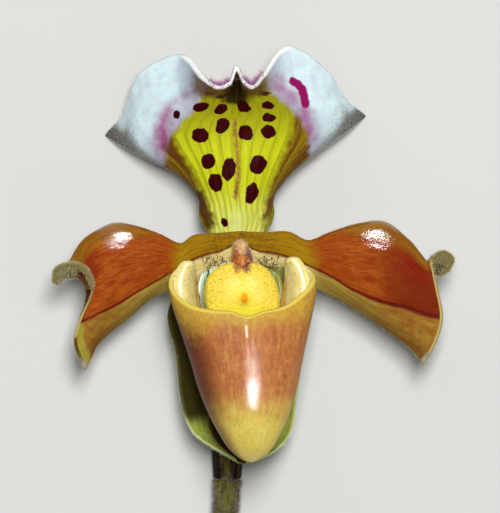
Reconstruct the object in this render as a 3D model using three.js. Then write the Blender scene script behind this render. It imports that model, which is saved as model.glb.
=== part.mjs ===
// A slipper orchid bloom (Paphiopedilum), picked with a length of its stalk and lying on its back.
// Millimetres, +Z up. The bloom faces +Z, its dorsal sepal points to +Y, its stalk runs to -Y.
// Every shape below is given from the heart of the bloom, where sepals, petals and lip meet,
// and the whole bloom is then lifted so that its three lowest points rest on Z = 0.

import * as THREE from "three";

// ---------------------------------------------------------------- driving dimensions

const HEART = new THREE.Vector3(-2.7, 38.5, 16.06);  // where the heart of the bloom lies
const PETAL_THICK = 1.0;         // petals and sepals, in their middle
const MARGIN_THICK = 0.65;       // petals and sepals, at their margins
const POUCH_WALL = 0.9;
const STEM_RADIUS = 2.45;
const BRACT_THICK = 0.65;
const BRACT_CLEAR = 0.4;         // air between the bract and the ovary it clasps
const NODE_GAP = 0.3;            // air between pieces that grow out of each other

// ---------------------------------------------------------------- colours

const finish = (color, roughness) => new THREE.MeshStandardMaterial({ color, roughness, metalness: 0 });
const STEM_GREEN = finish(0x6a6a26, 0.75);
const BRACT_BROWN = finish(0x4a2a14, 0.6);
const OVARY_GREEN = finish(0x6f6a30, 0.7);
const SEPAL_WHITE = finish(0xdfe6e4, 0.55);
const SEPAL_GREEN = finish(0x9ab450, 0.55);
const PETAL_BROWN = finish(0xa3521c, 0.25);
const POUCH_SALMON = finish(0xb86e3c, 0.28);
const SHIELD_YELLOW = finish(0xf2dc46, 0.45);
const COLUMN_CREAM = finish(0xd8c890, 0.6);
const ANTHER_YELLOW = finish(0xd9a83c, 0.5);
const STIGMA_CREAM = finish(0xe4dfb0, 0.5);

// ---------------------------------------------------------------- geometry helpers

const vector = ([x, y, z]) => new THREE.Vector3(x, y, z);
const smooth = (points, steps) => new THREE.CatmullRomCurve3(points).getPoints(steps);
const ramp = (value, low, high) => THREE.MathUtils.smoothstep(value, low, high);

// A closed body from its corners and triangles, with its faces turned outwards.
function closedBody(corners, triangles) {
  let volume = 0;
  for (const [a, b, c] of triangles) {
    volume += corners[a].dot(new THREE.Vector3().crossVectors(corners[b], corners[c]));
  }
  const faces = volume < 0 ? triangles.map(([a, b, c]) => [a, c, b]) : triangles;
  const geometry = new THREE.BufferGeometry().setFromPoints(corners);
  geometry.setIndex(faces.flat());
  geometry.computeVertexNormals();
  return geometry;
}

// A net of hand-set points (stations along a blade, each a row across it) as a fine grid.
function gridThrough(net, alongSteps, acrossSteps) {
  const rows = net.map((row) => smooth(row.map(vector), acrossSteps));
  const columns = rows[0].map((_, j) => smooth(rows.map((row) => row[j]), alongSteps));
  return columns[0].map((_, i) => columns.map((column) => column[i]));
}

function gridNormal(grid, i, j, closed) {
  const last = grid[0].length - 1;
  const before = closed ? (j + last) % (last + 1) : Math.max(j - 1, 0);
  const after = closed ? (j + 1) % (last + 1) : Math.min(j + 1, last);
  const along = grid[Math.min(i + 1, grid.length - 1)][j].clone().sub(grid[Math.max(i - 1, 0)][j]);
  const across = grid[i][after].clone().sub(grid[i][before]);
  return along.cross(across).normalize();
}

// A blade of the given thickness round a grid: two faces split alike, and a wall round the margin.
function blade(grid, thicknessAt) {
  const rows = grid.length;
  const columns = grid[0].length;
  const half = (i, j, side) => {
    const reach = thicknessAt(i / (rows - 1), j / (columns - 1)) * side / 2;
    return grid[i][j].clone().addScaledVector(gridNormal(grid, i, j, false), reach);
  };
  const corners = [];
  for (const side of [1, -1]) {
    for (let i = 0; i < rows; i += 1) {
      for (let j = 0; j < columns; j += 1) corners.push(half(i, j, side));
    }
  }
  const front = (i, j) => i * columns + j;
  const back = (i, j) => rows * columns + front(i, j);
  const triangles = [];
  const quad = (a, b, c, d) => triangles.push([a, b, c], [a, c, d]);
  for (let i = 0; i + 1 < rows; i += 1) {
    for (let j = 0; j + 1 < columns; j += 1) {
      quad(front(i, j), front(i, j + 1), front(i + 1, j + 1), front(i + 1, j));
      triangles.push([back(i, j), back(i + 1, j + 1), back(i, j + 1)]);
      triangles.push([back(i, j), back(i + 1, j), back(i + 1, j + 1)]);
    }
    quad(front(i, 0), front(i + 1, 0), back(i + 1, 0), back(i, 0));
    quad(front(i + 1, columns - 1), front(i, columns - 1), back(i, columns - 1), back(i + 1, columns - 1));
  }
  for (let j = 0; j + 1 < columns; j += 1) {
    quad(front(0, j + 1), front(0, j), back(0, j), back(0, j + 1));
    quad(front(rows - 1, j), front(rows - 1, j + 1), back(rows - 1, j + 1), back(rows - 1, j));
  }
  return closedBody(corners, triangles);
}

// Thickest along its middle and thinner towards every margin.
const petalThickness = (along, across) => {
  const inward = Math.min(across, 1 - across, (1 - along) * 1.5);
  return THREE.MathUtils.lerp(MARGIN_THICK, PETAL_THICK, ramp(inward, 0, 0.35));
};

// A round body of changing radius along a path, closed by a flat fan at each end.
function stalk(points, radiusAt, steps, sides) {
  const path = new THREE.CatmullRomCurve3(points.map(vector));
  const corners = [];
  for (let i = 0; i <= steps; i += 1) {
    const centre = path.getPoint(i / steps);
    const tangent = path.getTangent(i / steps);
    const side = new THREE.Vector3(1, 0, 0).cross(tangent).normalize();
    const up = tangent.clone().cross(side);
    for (let k = 0; k < sides; k += 1) {
      const turn = (2 * Math.PI * (k + 0.5)) / sides;
      const radius = radiusAt(i / steps, turn);
      corners.push(centre.clone()
        .addScaledVector(side, radius * Math.cos(turn))
        .addScaledVector(up, radius * Math.sin(turn)));
    }
  }
  const first = corners.push(path.getPoint(0)) - 1;
  const last = corners.push(path.getPoint(1)) - 1;
  const triangles = [];
  for (let k = 0; k < sides; k += 1) {
    const next = (k + 1) % sides;
    for (let i = 0; i < steps; i += 1) {
      const [a, b] = [i * sides + k, i * sides + next];
      triangles.push([a, b, b + sides], [a, b + sides, a + sides]);
    }
    triangles.push([first, next, k], [last, steps * sides + k, steps * sides + next]);
  }
  return closedBody(corners, triangles);
}

function ellipsoid(centre, radii, turnX = 0) {
  return new THREE.SphereGeometry(1, 14, 10).scale(...radii).rotateX(turnX).translate(...centre);
}

// ---------------------------------------------------------------- dorsal sepal

// Rows from the foot to the upper margin, each from the left margin to the right one.
const DORSAL_NET = [
  [[-3.4, -0.4, -4.3], [-2.9, -0.5, -4.1], [-2.4, -0.6, -4.0], [-1.8, -0.6, -4.0], [-1.2, -0.6, -4.0],
    [-0.8, -0.6, -4.0], [-0.6, -0.6, -4.0], [-0.4, -0.6, -4.0], [-0.2, -0.6, -4.0], [0.1, -0.6, -4.0],
    [0.5, -0.6, -4.0], [1.1, -0.6, -4.0], [1.7, -0.6, -4.0], [2.2, -0.5, -4.1], [2.7, -0.4, -4.3]],
  [[-6.4, 2.9, -5.6], [-6.9, 2.5, -4.6], [-5.8, 2.3, -3.7], [-4.2, 2.2, -3.2], [-2.8, 2.2, -3.0],
    [-1.8, 2.2, -2.9], [-1.2, 2.2, -2.9], [-0.7, 2.2, -3.0], [-0.2, 2.2, -2.9], [0.4, 2.2, -2.9],
    [1.5, 2.2, -3.0], [2.9, 2.2, -3.2], [4.4, 2.3, -3.7], [5.5, 2.5, -4.6], [5.1, 2.9, -5.6]],
  [[-7.0, 5.6, -6.2], [-7.9, 5.2, -4.9], [-7.0, 5.1, -3.4], [-5.2, 5.0, -2.1], [-3.6, 5.0, -1.5],
    [-2.2, 5.0, -1.2], [-1.4, 5.0, -1.2], [-0.6, 5.0, -1.4], [0.1, 5.0, -1.2], [0.9, 5.0, -1.2],
    [2.3, 5.0, -1.5], [4.0, 5.0, -2.1], [5.7, 5.1, -3.4], [6.6, 5.3, -4.9], [5.8, 5.6, -6.2]],
  [[-6.9, 8.8, -6.6], [-8.0, 8.4, -5.4], [-7.4, 8.2, -3.5], [-5.8, 8.3, -1.5], [-4.2, 8.4, -0.4],
    [-2.5, 8.4, 0.1], [-1.5, 8.4, 0.1], [-0.6, 8.4, -0.2], [0.3, 8.4, 0.1], [1.4, 8.4, 0.1],
    [2.9, 8.4, -0.4], [4.5, 8.3, -1.5], [5.9, 8.2, -3.5], [6.4, 8.4, -5.4], [5.4, 8.8, -6.6]],
  [[-11.5, 12.9, -6.6], [-12.2, 13.6, -4.8], [-10.9, 14.3, -2.6], [-8.6, 14.8, -0.8], [-5.9, 15.2, 0.6],
    [-3.2, 15.4, 1.2], [-1.8, 15.5, 1.1], [-0.6, 15.5, 0.7], [0.6, 15.5, 1.1], [2.0, 15.4, 1.2],
    [4.4, 15.2, 0.6], [6.8, 14.8, -0.8], [9.0, 14.3, -2.6], [10.1, 13.7, -4.8], [9.2, 12.9, -6.6]],
  [[-17.2, 15.9, -8.4], [-17.8, 17.3, -6.2], [-15.6, 19.4, -3.4], [-11.6, 21.2, -0.8], [-7.6, 22.2, 1.2],
    [-3.8, 22.6, 1.9], [-2.0, 22.6, 1.7], [-0.6, 22.6, 1.2], [0.8, 22.6, 1.7], [2.4, 22.6, 1.9],
    [5.6, 22.4, 1.2], [9.6, 21.8, -0.6], [13.4, 20.8, -3.0], [15.9, 19.5, -5.8], [15.8, 18.2, -8.2]],
  [[-22.6, 18.7, -11.6], [-21.8, 21.6, -7.6], [-18.6, 25.6, -3.6], [-13.6, 28.6, -0.4], [-8.4, 28.8, 2.6],
    [-3.9, 28.0, 4.4], [-2.1, 28.4, 4.0], [-0.6, 29.6, 3.0], [0.9, 28.4, 4.0], [2.5, 28.0, 4.4],
    [5.6, 29.2, 3.0], [10.4, 30.4, -0.2], [16.2, 27.8, -3.4], [20.2, 24.8, -7.0], [21.0, 21.9, -10.6]],
  [[-27.1, 21.3, -15.85], [-23.3, 25.4, -9.8], [-20.0, 33.3, -5.4], [-11.6, 36.9, -1.2], [-7.2, 32.3, 5.4],
    [-4.2, 30.4, 7.5], [-2.0, 31.4, 7.2], [-0.7, 34.6, 5.0], [0.7, 31.7, 7.2], [2.5, 30.5, 7.6],
    [4.6, 32.8, 6.0], [9.6, 38.6, -0.8], [17.2, 34.0, -5.0], [21.2, 28.2, -9.2], [25.2, 25.2, -15.85]],
];

const dorsalSepal = () => blade(gridThrough(DORSAL_NET, 18, 30), petalThickness);

// ---------------------------------------------------------------- synsepal

// Rows from the foot to the tip, each from the left margin to the right one.
const SYNSEPAL_NET = [
  [[-2.6, -2.4, -3.9], [-1.3, -2.5, -4.0], [0, -2.5, -4.0], [1.2, -2.5, -4.0], [2.4, -2.4, -3.9]],
  [[-6.0, -4.4, -4.2], [-3.0, -4.6, -4.4], [0, -4.6, -4.5], [2.8, -4.6, -4.4], [5.6, -4.4, -4.2]],
  [[-10.4, -8.0, -5.0], [-5.4, -8.6, -6.2], [0, -8.8, -6.7], [5.2, -8.6, -6.2], [9.6, -8.0, -5.0]],
  [[-14.2, -14.4, -4.6], [-7.4, -15.4, -7.0], [0, -15.8, -7.8], [7.0, -15.4, -7.0], [12.8, -14.4, -4.6]],
  [[-12.6, -23.0, -3.2], [-6.6, -24.0, -6.8], [0, -24.4, -7.8], [6.4, -24.0, -6.8], [12.2, -23.0, -3.2]],
  [[-11.5, -32.4, -2.4], [-6.0, -33.0, -6.0], [0.2, -33.2, -7.0], [6.0, -33.0, -6.0], [11.1, -32.4, -2.4]],
  [[-9.4, -38.4, -1.6], [-5.0, -39.2, -4.4], [0.3, -39.8, -5.2], [5.4, -39.4, -4.4], [9.8, -38.9, -1.6]],
  [[-5.6, -41.4, -1.2], [-2.8, -42.6, -2.4], [0.4, -43.4, -2.9], [4.0, -43.1, -2.4], [7.0, -42.2, -1.0]],
  [[-1.9, -43.4, -1.0], [-0.7, -44.2, -1.1], [0.5, -44.6, -1.1], [1.8, -44.5, -1.0], [3.2, -44.1, -0.9]],
];

const synsepal = () => blade(gridThrough(SYNSEPAL_NET, 18, 10), petalThickness);

// ---------------------------------------------------------------- petals

// Rows from the foot to the apex margin. Each row runs from the lower margin over the midrib
// (third point) and the rounded upper edge (sixth point) to the margin rolled back behind it,
// which at the apex becomes the hooked corner.
const RIGHT_PETAL_NET = [
  [[0.2, -4.5, -2.8], [0.2, -3.3, -1.9], [0.1, -2.0, -1.2], [0.1, -1.0, -0.9], [0.1, 0.1, -0.9],
    [0.1, 1.0, -1.2], [0.1, 1.2, -1.5], [0.1, 1.4, -1.8], [0.1, 1.5, -2.1]],
  [[5.4, -6.6, -3.1], [5.5, -4.6, -1.9], [5.6, -2.3, -0.8], [5.5, -1.1, -0.5], [5.3, 0.1, -0.5],
    [5.0, 0.9, -0.8], [5.0, 1.1, -1.1], [5.0, 1.2, -1.5], [5.0, 1.2, -1.9]],
  [[9.8, -8.0, -3.2], [10.0, -5.9, -1.9], [10.2, -3.4, -0.6], [10.1, -1.9, -0.2], [9.9, -0.3, -0.1],
    [9.6, 0.9, -0.4], [9.6, 1.2, -0.9], [9.6, 1.3, -1.4], [9.6, 1.3, -2.0]],
  [[14.2, -8.9, -3.2], [14.1, -7.1, -1.6], [14.0, -5.0, 0.1], [13.8, -3.5, 0.3], [13.7, -2.0, 0.2],
    [13.6, -0.8, -0.2], [13.6, -0.5, -0.8], [13.6, -0.4, -1.4], [13.6, -0.4, -2.0]],
  [[19.2, -11.3, -3.0], [18.9, -9.6, -0.8], [18.4, -7.1, 0.9], [18.0, -4.4, 1.8], [17.8, -1.6, 2.0],
    [17.8, 0.6, 1.3], [18.0, 1.1, 0.2], [18.2, 0.9, -0.9], [18.5, 0.4, -1.9]],
  [[24.0, -14.1, -3.0], [23.6, -12.4, -0.6], [22.9, -9.9, 1.3], [22.8, -5.8, 2.6], [22.8, -1.4, 3.1],
    [23.0, 2.1, 2.8], [23.4, 2.8, 1.2], [23.9, 2.6, -0.2], [24.4, 1.9, -1.4]],
  [[29.0, -17.5, -2.6], [28.7, -15.4, -0.3], [28.1, -12.1, 1.5], [28.0, -7.0, 2.9], [28.1, -1.6, 3.4],
    [28.4, 2.5, 3.1], [28.8, 3.2, 1.4], [29.3, 3.0, -0.2], [30.0, 2.3, -1.4]],
  [[33.2, -20.6, -1.8], [33.3, -17.6, 0.4], [33.2, -13.4, 2.0], [33.0, -8.6, 3.0], [33.0, -4.0, 3.0],
    [33.2, -0.6, 2.4], [33.7, -0.5, 1.1], [34.0, -1.6, -0.1], [34.4, -3.0, -1.2]],
  [[35.4, -22.7, -0.8], [36.9, -19.2, 1.2], [37.4, -14.9, 2.4], [37.0, -10.2, 2.8], [36.8, -6.9, 2.6],
    [37.3, -4.7, 1.7], [38.3, -5.3, 0.9], [39.2, -6.0, 0.2], [39.9, -6.9, -0.4]],
  [[36.6, -24.8, 0.2], [39.2, -19.7, 2.2], [40.2, -15.4, 3.0], [39.3, -10.2, 3.0], [38.5, -6.6, 2.6],
    [38.2, -4.0, 2.0], [40.5, -2.4, 1.5], [42.5, -3.9, 1.0], [41.6, -6.1, 0.7]],
];
const LEFT_PETAL_NET = [
  [[-0.4, -4.4, -2.8], [-0.4, -3.2, -1.9], [-0.3, -1.9, -1.2], [-0.3, -0.9, -0.9], [-0.3, 0.1, -0.9],
    [-0.3, 1.0, -1.2], [-0.3, 1.2, -1.5], [-0.3, 1.4, -1.8], [-0.3, 1.5, -2.1]],
  [[-5.4, -6.8, -3.1], [-5.6, -4.8, -1.9], [-6.0, -2.5, -0.8], [-5.9, -1.4, -0.5], [-5.6, -0.2, -0.5],
    [-5.3, 0.7, -0.8], [-5.2, 0.9, -1.1], [-5.2, 1.0, -1.5], [-5.2, 1.0, -1.9]],
  [[-9.2, -8.4, -3.2], [-9.6, -6.4, -1.9], [-10.0, -4.0, -0.6], [-9.8, -2.5, -0.2], [-9.6, -1.0, -0.1],
    [-9.3, 0.2, -0.4], [-9.2, 0.5, -0.9], [-9.2, 0.6, -1.4], [-9.2, 0.6, -2.0]],
  [[-12.6, -9.4, -3.2], [-12.8, -7.8, -1.6], [-13.0, -5.8, 0.1], [-12.5, -4.2, 0.3], [-12.2, -2.7, 0.2],
    [-11.9, -1.4, -0.2], [-11.8, -1.1, -0.8], [-11.8, -1.0, -1.4], [-11.8, -1.0, -2.0]],
  [[-17.6, -11.3, -3.0], [-17.2, -10.0, -0.8], [-16.6, -7.9, 0.9], [-16.2, -5.0, 1.8], [-16.0, -1.9, 2.0],
    [-16.0, 0.3, 1.3], [-16.2, 0.8, 0.2], [-16.4, 0.6, -0.9], [-16.7, 0.1, -1.9]],
  [[-22.0, -15.0, -3.0], [-21.4, -13.2, -0.6], [-20.6, -10.2, 1.3], [-20.4, -6.0, 2.6], [-20.3, -1.7, 3.1],
    [-20.5, 1.7, 2.8], [-20.9, 2.4, 1.2], [-21.3, 2.2, -0.2], [-21.9, 1.5, -1.4]],
  [[-25.8, -18.1, -2.6], [-25.4, -16.0, -0.3], [-24.6, -12.7, 1.5], [-24.6, -7.8, 2.9], [-24.7, -2.1, 3.5],
    [-25.0, 2.2, 3.1], [-25.4, 2.9, 1.4], [-25.9, 2.7, -0.2], [-26.6, 2.0, -1.4]],
  [[-28.7, -20.8, -1.8], [-28.6, -18.0, 0.4], [-28.2, -14.5, 2.0], [-28.0, -9.6, 3.0], [-29.0, -4.0, 3.3],
    [-31.0, -0.7, 2.3], [-32.2, -1.7, 1.0], [-33.1, -3.3, 0.0], [-34.2, -4.6, -0.9]],
  [[-30.0, -23.6, -0.8], [-31.2, -20.2, 1.2], [-31.2, -16.0, 2.4], [-30.4, -10.8, 2.6], [-31.0, -8.4, 2.4],
    [-32.4, -7.2, 1.8], [-34.0, -7.3, 1.0], [-35.6, -7.5, 0.4], [-36.2, -8.6, 0.0]],
  [[-31.0, -25.8, 0.2], [-32.9, -20.6, 2.2], [-32.0, -16.2, 3.2], [-29.8, -10.8, 3.8], [-29.7, -7.9, 3.9],
    [-31.3, -5.5, 3.6], [-34.0, -4.8, 3.0], [-36.8, -5.9, 2.0], [-37.2, -8.2, 1.4]],
];

const petal = (net) => blade(gridThrough(net, 22, 16), petalThickness);

// ---------------------------------------------------------------- pouch

// Level sections of the pouch: height, centre across, half width, front and back.
const POUCH_SECTIONS = [
  [-2.6, 0.5, 10.8, 13.4, -0.3], [-5.5, 0.5, 13.6, 14.9, -0.7], [-8.6, 0.5, 14.7, 16.0, -0.8],
  [-12.6, 0.6, 14.2, 17.2, -0.6], [-19.2, 1.0, 12.4, 19.4, 0.4], [-24.4, 1.3, 11.0, 20.8, 2.0],
  [-29.2, 1.5, 9.8, 21.8, 4.0], [-34.4, 1.8, 8.0, 22.0, 6.8], [-38.6, 1.95, 5.9, 20.9, 9.4],
  [-41.4, 2.05, 4.1, 19.4, 11.4], [-43.0, 2.1, 2.4, 17.8, 13.2], [-43.7, 2.1, 1.2, 16.6, 14.4],
  [-43.9, 2.1, 0.0, 15.5, 15.5],
];
const POUCH_YAW = 0.09;      // the front of the pouch lies this much further right per mm forward
// The rim: angle from the front centre (degrees, right is positive) and height there. It dips at the
// front, climbs over an ear at each side, drops into a narrow notch and climbs again to the broad claw.
const POUCH_RIM = [
  [-180, -3.6], [-171, -4.3], [-163, -5.2], [-155, -6.0], [-149, -6.7], [-146, -7.4], [-144.5, -9.2],
  [-143.6, -11.6], [-143, -13.8], [-142, -12.0], [-140.5, -9.2], [-138, -7.0], [-134, -5.5],
  [-127, -4.5], [-117, -4.8], [-104, -6.2], [-91, -8.0], [-78, -10.1], [-62, -12.0], [-46, -13.4],
  [-30, -14.1], [-13, -14.4], [0, -15.3], [13, -14.3],
  [30, -13.5], [43, -12.1], [56, -10.2], [69, -8.6], [83, -7.3], [98, -6.0], [111, -4.5], [125, -3.7],
  [134, -4.5], [138, -6.4], [140.5, -9.2], [142, -12.0], [143, -13.8], [143.6, -11.6], [144.5, -9.2],
  [146, -7.4], [149, -6.7], [155, -6.0], [163, -5.2], [171, -4.3],
];
const POUCH_STEPS = 15;
// At each ear the wall swells forward, by the full lift from the height called top upwards.
const EAR = { angle: 128, spread: 14, lift: 3.0, foot: -20, top: -10 };

function pouch() {
  const shape = new THREE.CatmullRomCurve3(POUCH_SECTIONS.map(([y, x, w]) => new THREE.Vector3(y, x, w)));
  const depth = new THREE.CatmullRomCurve3(POUCH_SECTIONS.map(([y, , , f, b]) => new THREE.Vector3(y, f, b)));
  const stationAt = (height) => {
    let [low, high] = [0, 1];
    for (let k = 0; k < 30; k += 1) {
      const middle = (low + high) / 2;
      if (shape.getPoint(middle).x > height) low = middle;
      else high = middle;
    }
    return low;
  };
  const earShare = (angle) => Math.exp(-(((Math.abs(angle) - EAR.angle) / EAR.spread) ** 2));
  const rails = POUCH_RIM.map(([angle, height]) => {
    const start = stationAt(height);
    const turn = THREE.MathUtils.degToRad(angle);
    return Array.from({ length: POUCH_STEPS }, (_, k) => {
      const station = THREE.MathUtils.lerp(start, 1, k / POUCH_STEPS);
      const { x: y, y: centre, z: halfWidth } = shape.getPoint(station);
      const { y: front, z: back } = depth.getPoint(station);
      const lift = EAR.lift * earShare(angle) * ramp(y, EAR.foot, EAR.top);
      const z = (front + back) / 2 + ((front - back) / 2) * Math.cos(turn) + lift;
      const yaw = POUCH_YAW * (z - (front + back) / 2);
      return new THREE.Vector3(centre + yaw + halfWidth * Math.sin(turn), y, z);
    });
  });
  const rings = rails[0].map((_, k) => rails.map((rail) => rail[k]));
  const toe = new THREE.Vector3(POUCH_SECTIONS.at(-1)[1], POUCH_SECTIONS.at(-1)[0], POUCH_SECTIONS.at(-1)[3]);
  return cup(rings, toe, new THREE.Vector3(0, 1, 0), POUCH_WALL);
}

// An open cup from its outer rings, its bottom point and its wall.
function cup(rings, bottom, inward, wall) {
  const around = rings[0].length;
  const corners = rings.flat().map((corner) => corner.clone());
  rings.forEach((ring, i) => ring.forEach((corner, j) => {
    corners.push(corner.clone().addScaledVector(gridNormal(rings, i, j, true), -wall));
  }));
  const outerEnd = corners.push(bottom.clone()) - 1;
  const innerEnd = corners.push(bottom.clone().addScaledVector(inward, wall)) - 1;
  const innerStart = rings.length * around;
  const triangles = [];
  for (let j = 0; j < around; j += 1) {
    const next = (j + 1) % around;
    for (let i = 0; i + 1 < rings.length; i += 1) {
      const [a, b] = [i * around + j, i * around + next];
      triangles.push([a, b, b + around], [a, b + around, a + around]);
      const [c, d] = [innerStart + a, innerStart + b];
      triangles.push([c, d + around, d], [c, c + around, d + around]);
    }
    const last = (rings.length - 1) * around;
    triangles.push([last + j, last + next, outerEnd]);
    triangles.push([innerStart + last + next, innerStart + last + j, innerEnd]);
    triangles.push([next, j, innerStart + j], [next, innerStart + j, innerStart + next]);
  }
  return closedBody(corners, triangles);
}

// ---------------------------------------------------------------- staminode, column, anthers, stigma

// The outline of the yellow shield, from the notch at its top round to the right.
const SHIELD_OUTLINE = [
  [0.5, -5.6], [2.3, -4.5], [4.8, -5.3], [6.9, -7.8], [7.8, -11.0], [7.7, -13.6], [5.0, -15.0],
  [1.4, -15.7], [-2.4, -15.1], [-5.6, -14.6], [-7.2, -12.4], [-7.0, -8.6], [-4.9, -5.7], [-1.4, -4.5],
];
const SHIELD_CENTRE = [0.5, -10.4];
const SHIELD_BACK = 7.7;
const SHIELD_EDGE = 0.8;         // thickness at the margin
const SHIELD_DOME = 1.7;         // how much its middle stands proud of the margin
const UMBO = { x: 0.9, y: -11.6, radius: 1.1, height: 0.9 };

function staminode() {
  const around = 32;
  const ringCount = 7;
  const outline = new THREE.SplineCurve([...SHIELD_OUTLINE, SHIELD_OUTLINE[0]].map(([x, y]) =>
    new THREE.Vector2(x, y))).getPoints(around).slice(0, around);
  const centre = new THREE.Vector2(...SHIELD_CENTRE);
  const front = (x, y, share) => {
    const bump = Math.exp(-((x - UMBO.x) ** 2 + (y - UMBO.y) ** 2) / UMBO.radius ** 2);
    return SHIELD_BACK + SHIELD_EDGE + SHIELD_DOME * (1 - share ** 3) + UMBO.height * bump;
  };
  const corners = [
    new THREE.Vector3(centre.x, centre.y, front(centre.x, centre.y, 0)),
    new THREE.Vector3(centre.x, centre.y, SHIELD_BACK),
  ];
  const faces = [0, 1].map((side) => Array.from({ length: ringCount }, (_, r) => {
    const share = (r + 1) / ringCount;
    return outline.map((edge) => {
      const { x, y } = centre.clone().lerp(edge, share);
      return corners.push(new THREE.Vector3(x, y, side ? SHIELD_BACK : front(x, y, share))) - 1;
    });
  }));
  const triangles = [];
  for (let j = 0; j < around; j += 1) {
    const next = (j + 1) % around;
    faces.forEach((rings, side) => {
      const push = (a, b, c) => triangles.push(side ? [a, b, c] : [a, c, b]);
      push(side, rings[0][j], rings[0][next]);
      for (let r = 0; r + 1 < ringCount; r += 1) {
        push(rings[r][j], rings[r + 1][j], rings[r + 1][next]);
        push(rings[r][j], rings[r + 1][next], rings[r][next]);
      }
    });
    const [a, b] = [faces[0].at(-1)[j], faces[0].at(-1)[next]];
    const [c, d] = [faces[1].at(-1)[j], faces[1].at(-1)[next]];
    triangles.push([a, b, d], [a, d, c]);
  }
  return closedBody(corners, triangles);
}

const COLUMN_END = SHIELD_BACK - NODE_GAP;
const COLUMN_PATH = [
  [0.0, -0.9, 0.0], [0.2, -1.8, 2.0], [0.4, -4.0, 4.4], [0.5, -5.0, COLUMN_END - 1], [0.5, -5.1, COLUMN_END],
];
const COLUMN_FOOT_RADIUS = 1.5;
const COLUMN_HEAD_RADIUS = 2.0;
const column = () => stalk(COLUMN_PATH, (along) =>
  THREE.MathUtils.lerp(COLUMN_FOOT_RADIUS, COLUMN_HEAD_RADIUS, along), 8, 12);

const ANTHER = { centre: [0.5, -6.2, 5.9], apart: 3.15, radii: [1.1, 1.4, 0.9] };
const anther = (side) => {
  const [x, y, z] = ANTHER.centre;
  return ellipsoid([x + side * ANTHER.apart, y, z], ANTHER.radii);
};

const STIGMA = { centre: [0.5, -9.0, 4.9], radii: [2.5, 1.9, 0.9], tip: 0.5 };
const stigma = () => ellipsoid(STIGMA.centre, STIGMA.radii, STIGMA.tip);

// ---------------------------------------------------------------- ovary, bract, stem

const NODE = [-2.6, -48.8, -12.2];
const OVARY_PATH = [
  [-0.4, -0.9, -5.3], [-0.5, -1.6, -7.6], [-0.8, -4.8, -10.2], [-1.3, -12.0, -11.4], [-1.9, -25.0, -12.0],
  [-2.4, -38.0, -12.0], NODE,
];
const OVARY_RADIUS = 2.2;
const OVARY_RIBS = 6;
const RIB_SHARE = 0.07;
const OVARY_BELLY = 0.1;             // how much thicker its middle is than its ends
const OVARY_TAPER = 0.26;            // how much thinner it gets towards the node
const TAPER_FROM = 0.75;             // from there on
const ovarySwell = (along) =>
  1 + OVARY_BELLY * Math.sin(Math.PI * along) - OVARY_TAPER * ramp(along, TAPER_FROM, 1);
const ovary = () => stalk(OVARY_PATH, (along, turn) =>
  OVARY_RADIUS * ovarySwell(along) * (1 + RIB_SHARE * Math.cos(OVARY_RIBS * turn)), 16, 18);

const BRACT_LENGTH_SHARE = 0.42;     // of the ovary's path, up from the node
const BRACT_FOOT = 0.985;            // where on that path the bract starts
const BRACT_WRAP = 2.5;              // radians to each side of the ovary's underside, at the foot
const BRACT_FLARE = 0.35;            // how far its middle stands off the ovary
const BRACT_NARROWING = 0.985;       // how far its sides close in towards its tip
const BRACT_POINT = 2.2;             // how late they do so: a higher power is a blunter tip

function bract() {
  const path = new THREE.CatmullRomCurve3(OVARY_PATH.map(vector));
  const rows = 12;
  const columns = 14;
  const grid = Array.from({ length: rows + 1 }, (_, i) => {
    const share = i / rows;
    const at = BRACT_FOOT - BRACT_LENGTH_SHARE * share;
    const reach = OVARY_RADIUS * ovarySwell(at) * (1 + RIB_SHARE) + BRACT_CLEAR + BRACT_THICK / 2
      + BRACT_FLARE * Math.sin(Math.PI * share);
    const centre = path.getPoint(at);
    const tangent = path.getTangent(at);
    const side = new THREE.Vector3(1, 0, 0).cross(tangent).normalize();
    const up = tangent.clone().cross(side);
    const wrap = BRACT_WRAP * Math.sqrt(1 - BRACT_NARROWING * share ** BRACT_POINT);
    return Array.from({ length: columns + 1 }, (__, j) => {
      const turn = wrap * (2 * j / columns - 1);
      return centre.clone()
        .addScaledVector(side, reach * Math.cos(turn))
        .addScaledVector(up, reach * Math.sin(turn));
    });
  });
  return blade(grid, () => BRACT_THICK);
}

const STEM_PATH = [
  [-2.62, -49.1, -12.35], [-3.0, -56.0, -12.7], [-4.0, -75.0, -13.2], [-4.6, -95.0, -13.55],
  [-4.4, -115.4, -13.69],
];
const NODE_SWELL = 0.1;              // how much thicker the stem is just under the node
const NODE_REACH = 0.1;              // the share of its length over which that fades
const stem = () => stalk(STEM_PATH, (along) =>
  STEM_RADIUS * (1 + NODE_SWELL * ramp(NODE_REACH - along, 0, NODE_REACH)), 14, 12);

// ---------------------------------------------------------------- the bloom

const bloom = new THREE.Group();
bloom.position.copy(HEART);

function add(name, geometry, material) {
  const mesh = new THREE.Mesh(geometry, material);
  mesh.name = name;
  bloom.add(mesh);
}

add("stem", stem(), STEM_GREEN);
add("bract", bract(), BRACT_BROWN);
add("ovary", ovary(), OVARY_GREEN);
add("dorsal_sepal", dorsalSepal(), SEPAL_WHITE);
add("synsepal", synsepal(), SEPAL_GREEN);
add("petal_left", petal(LEFT_PETAL_NET), PETAL_BROWN);
add("petal_right", petal(RIGHT_PETAL_NET), PETAL_BROWN);
add("pouch", pouch(), POUCH_SALMON);
add("column", column(), COLUMN_CREAM);
add("staminode", staminode(), SHIELD_YELLOW);
add("anther_left", anther(-1), ANTHER_YELLOW);
add("anther_right", anther(1), ANTHER_YELLOW);
add("stigma", stigma(), STIGMA_CREAM);

export default bloom;
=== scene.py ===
# %% [markdown]
# # A picked slipper orchid bloom
#
# The bloom is a handful of thin, living surfaces: a hooded sepal behind, a second one below, two
# petals, and a pouch with a yellow shield over its mouth. We load the measured solids first, so that
# every finer piece can be laid exactly where its solid is, and then replace them one at a time.

import math

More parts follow.
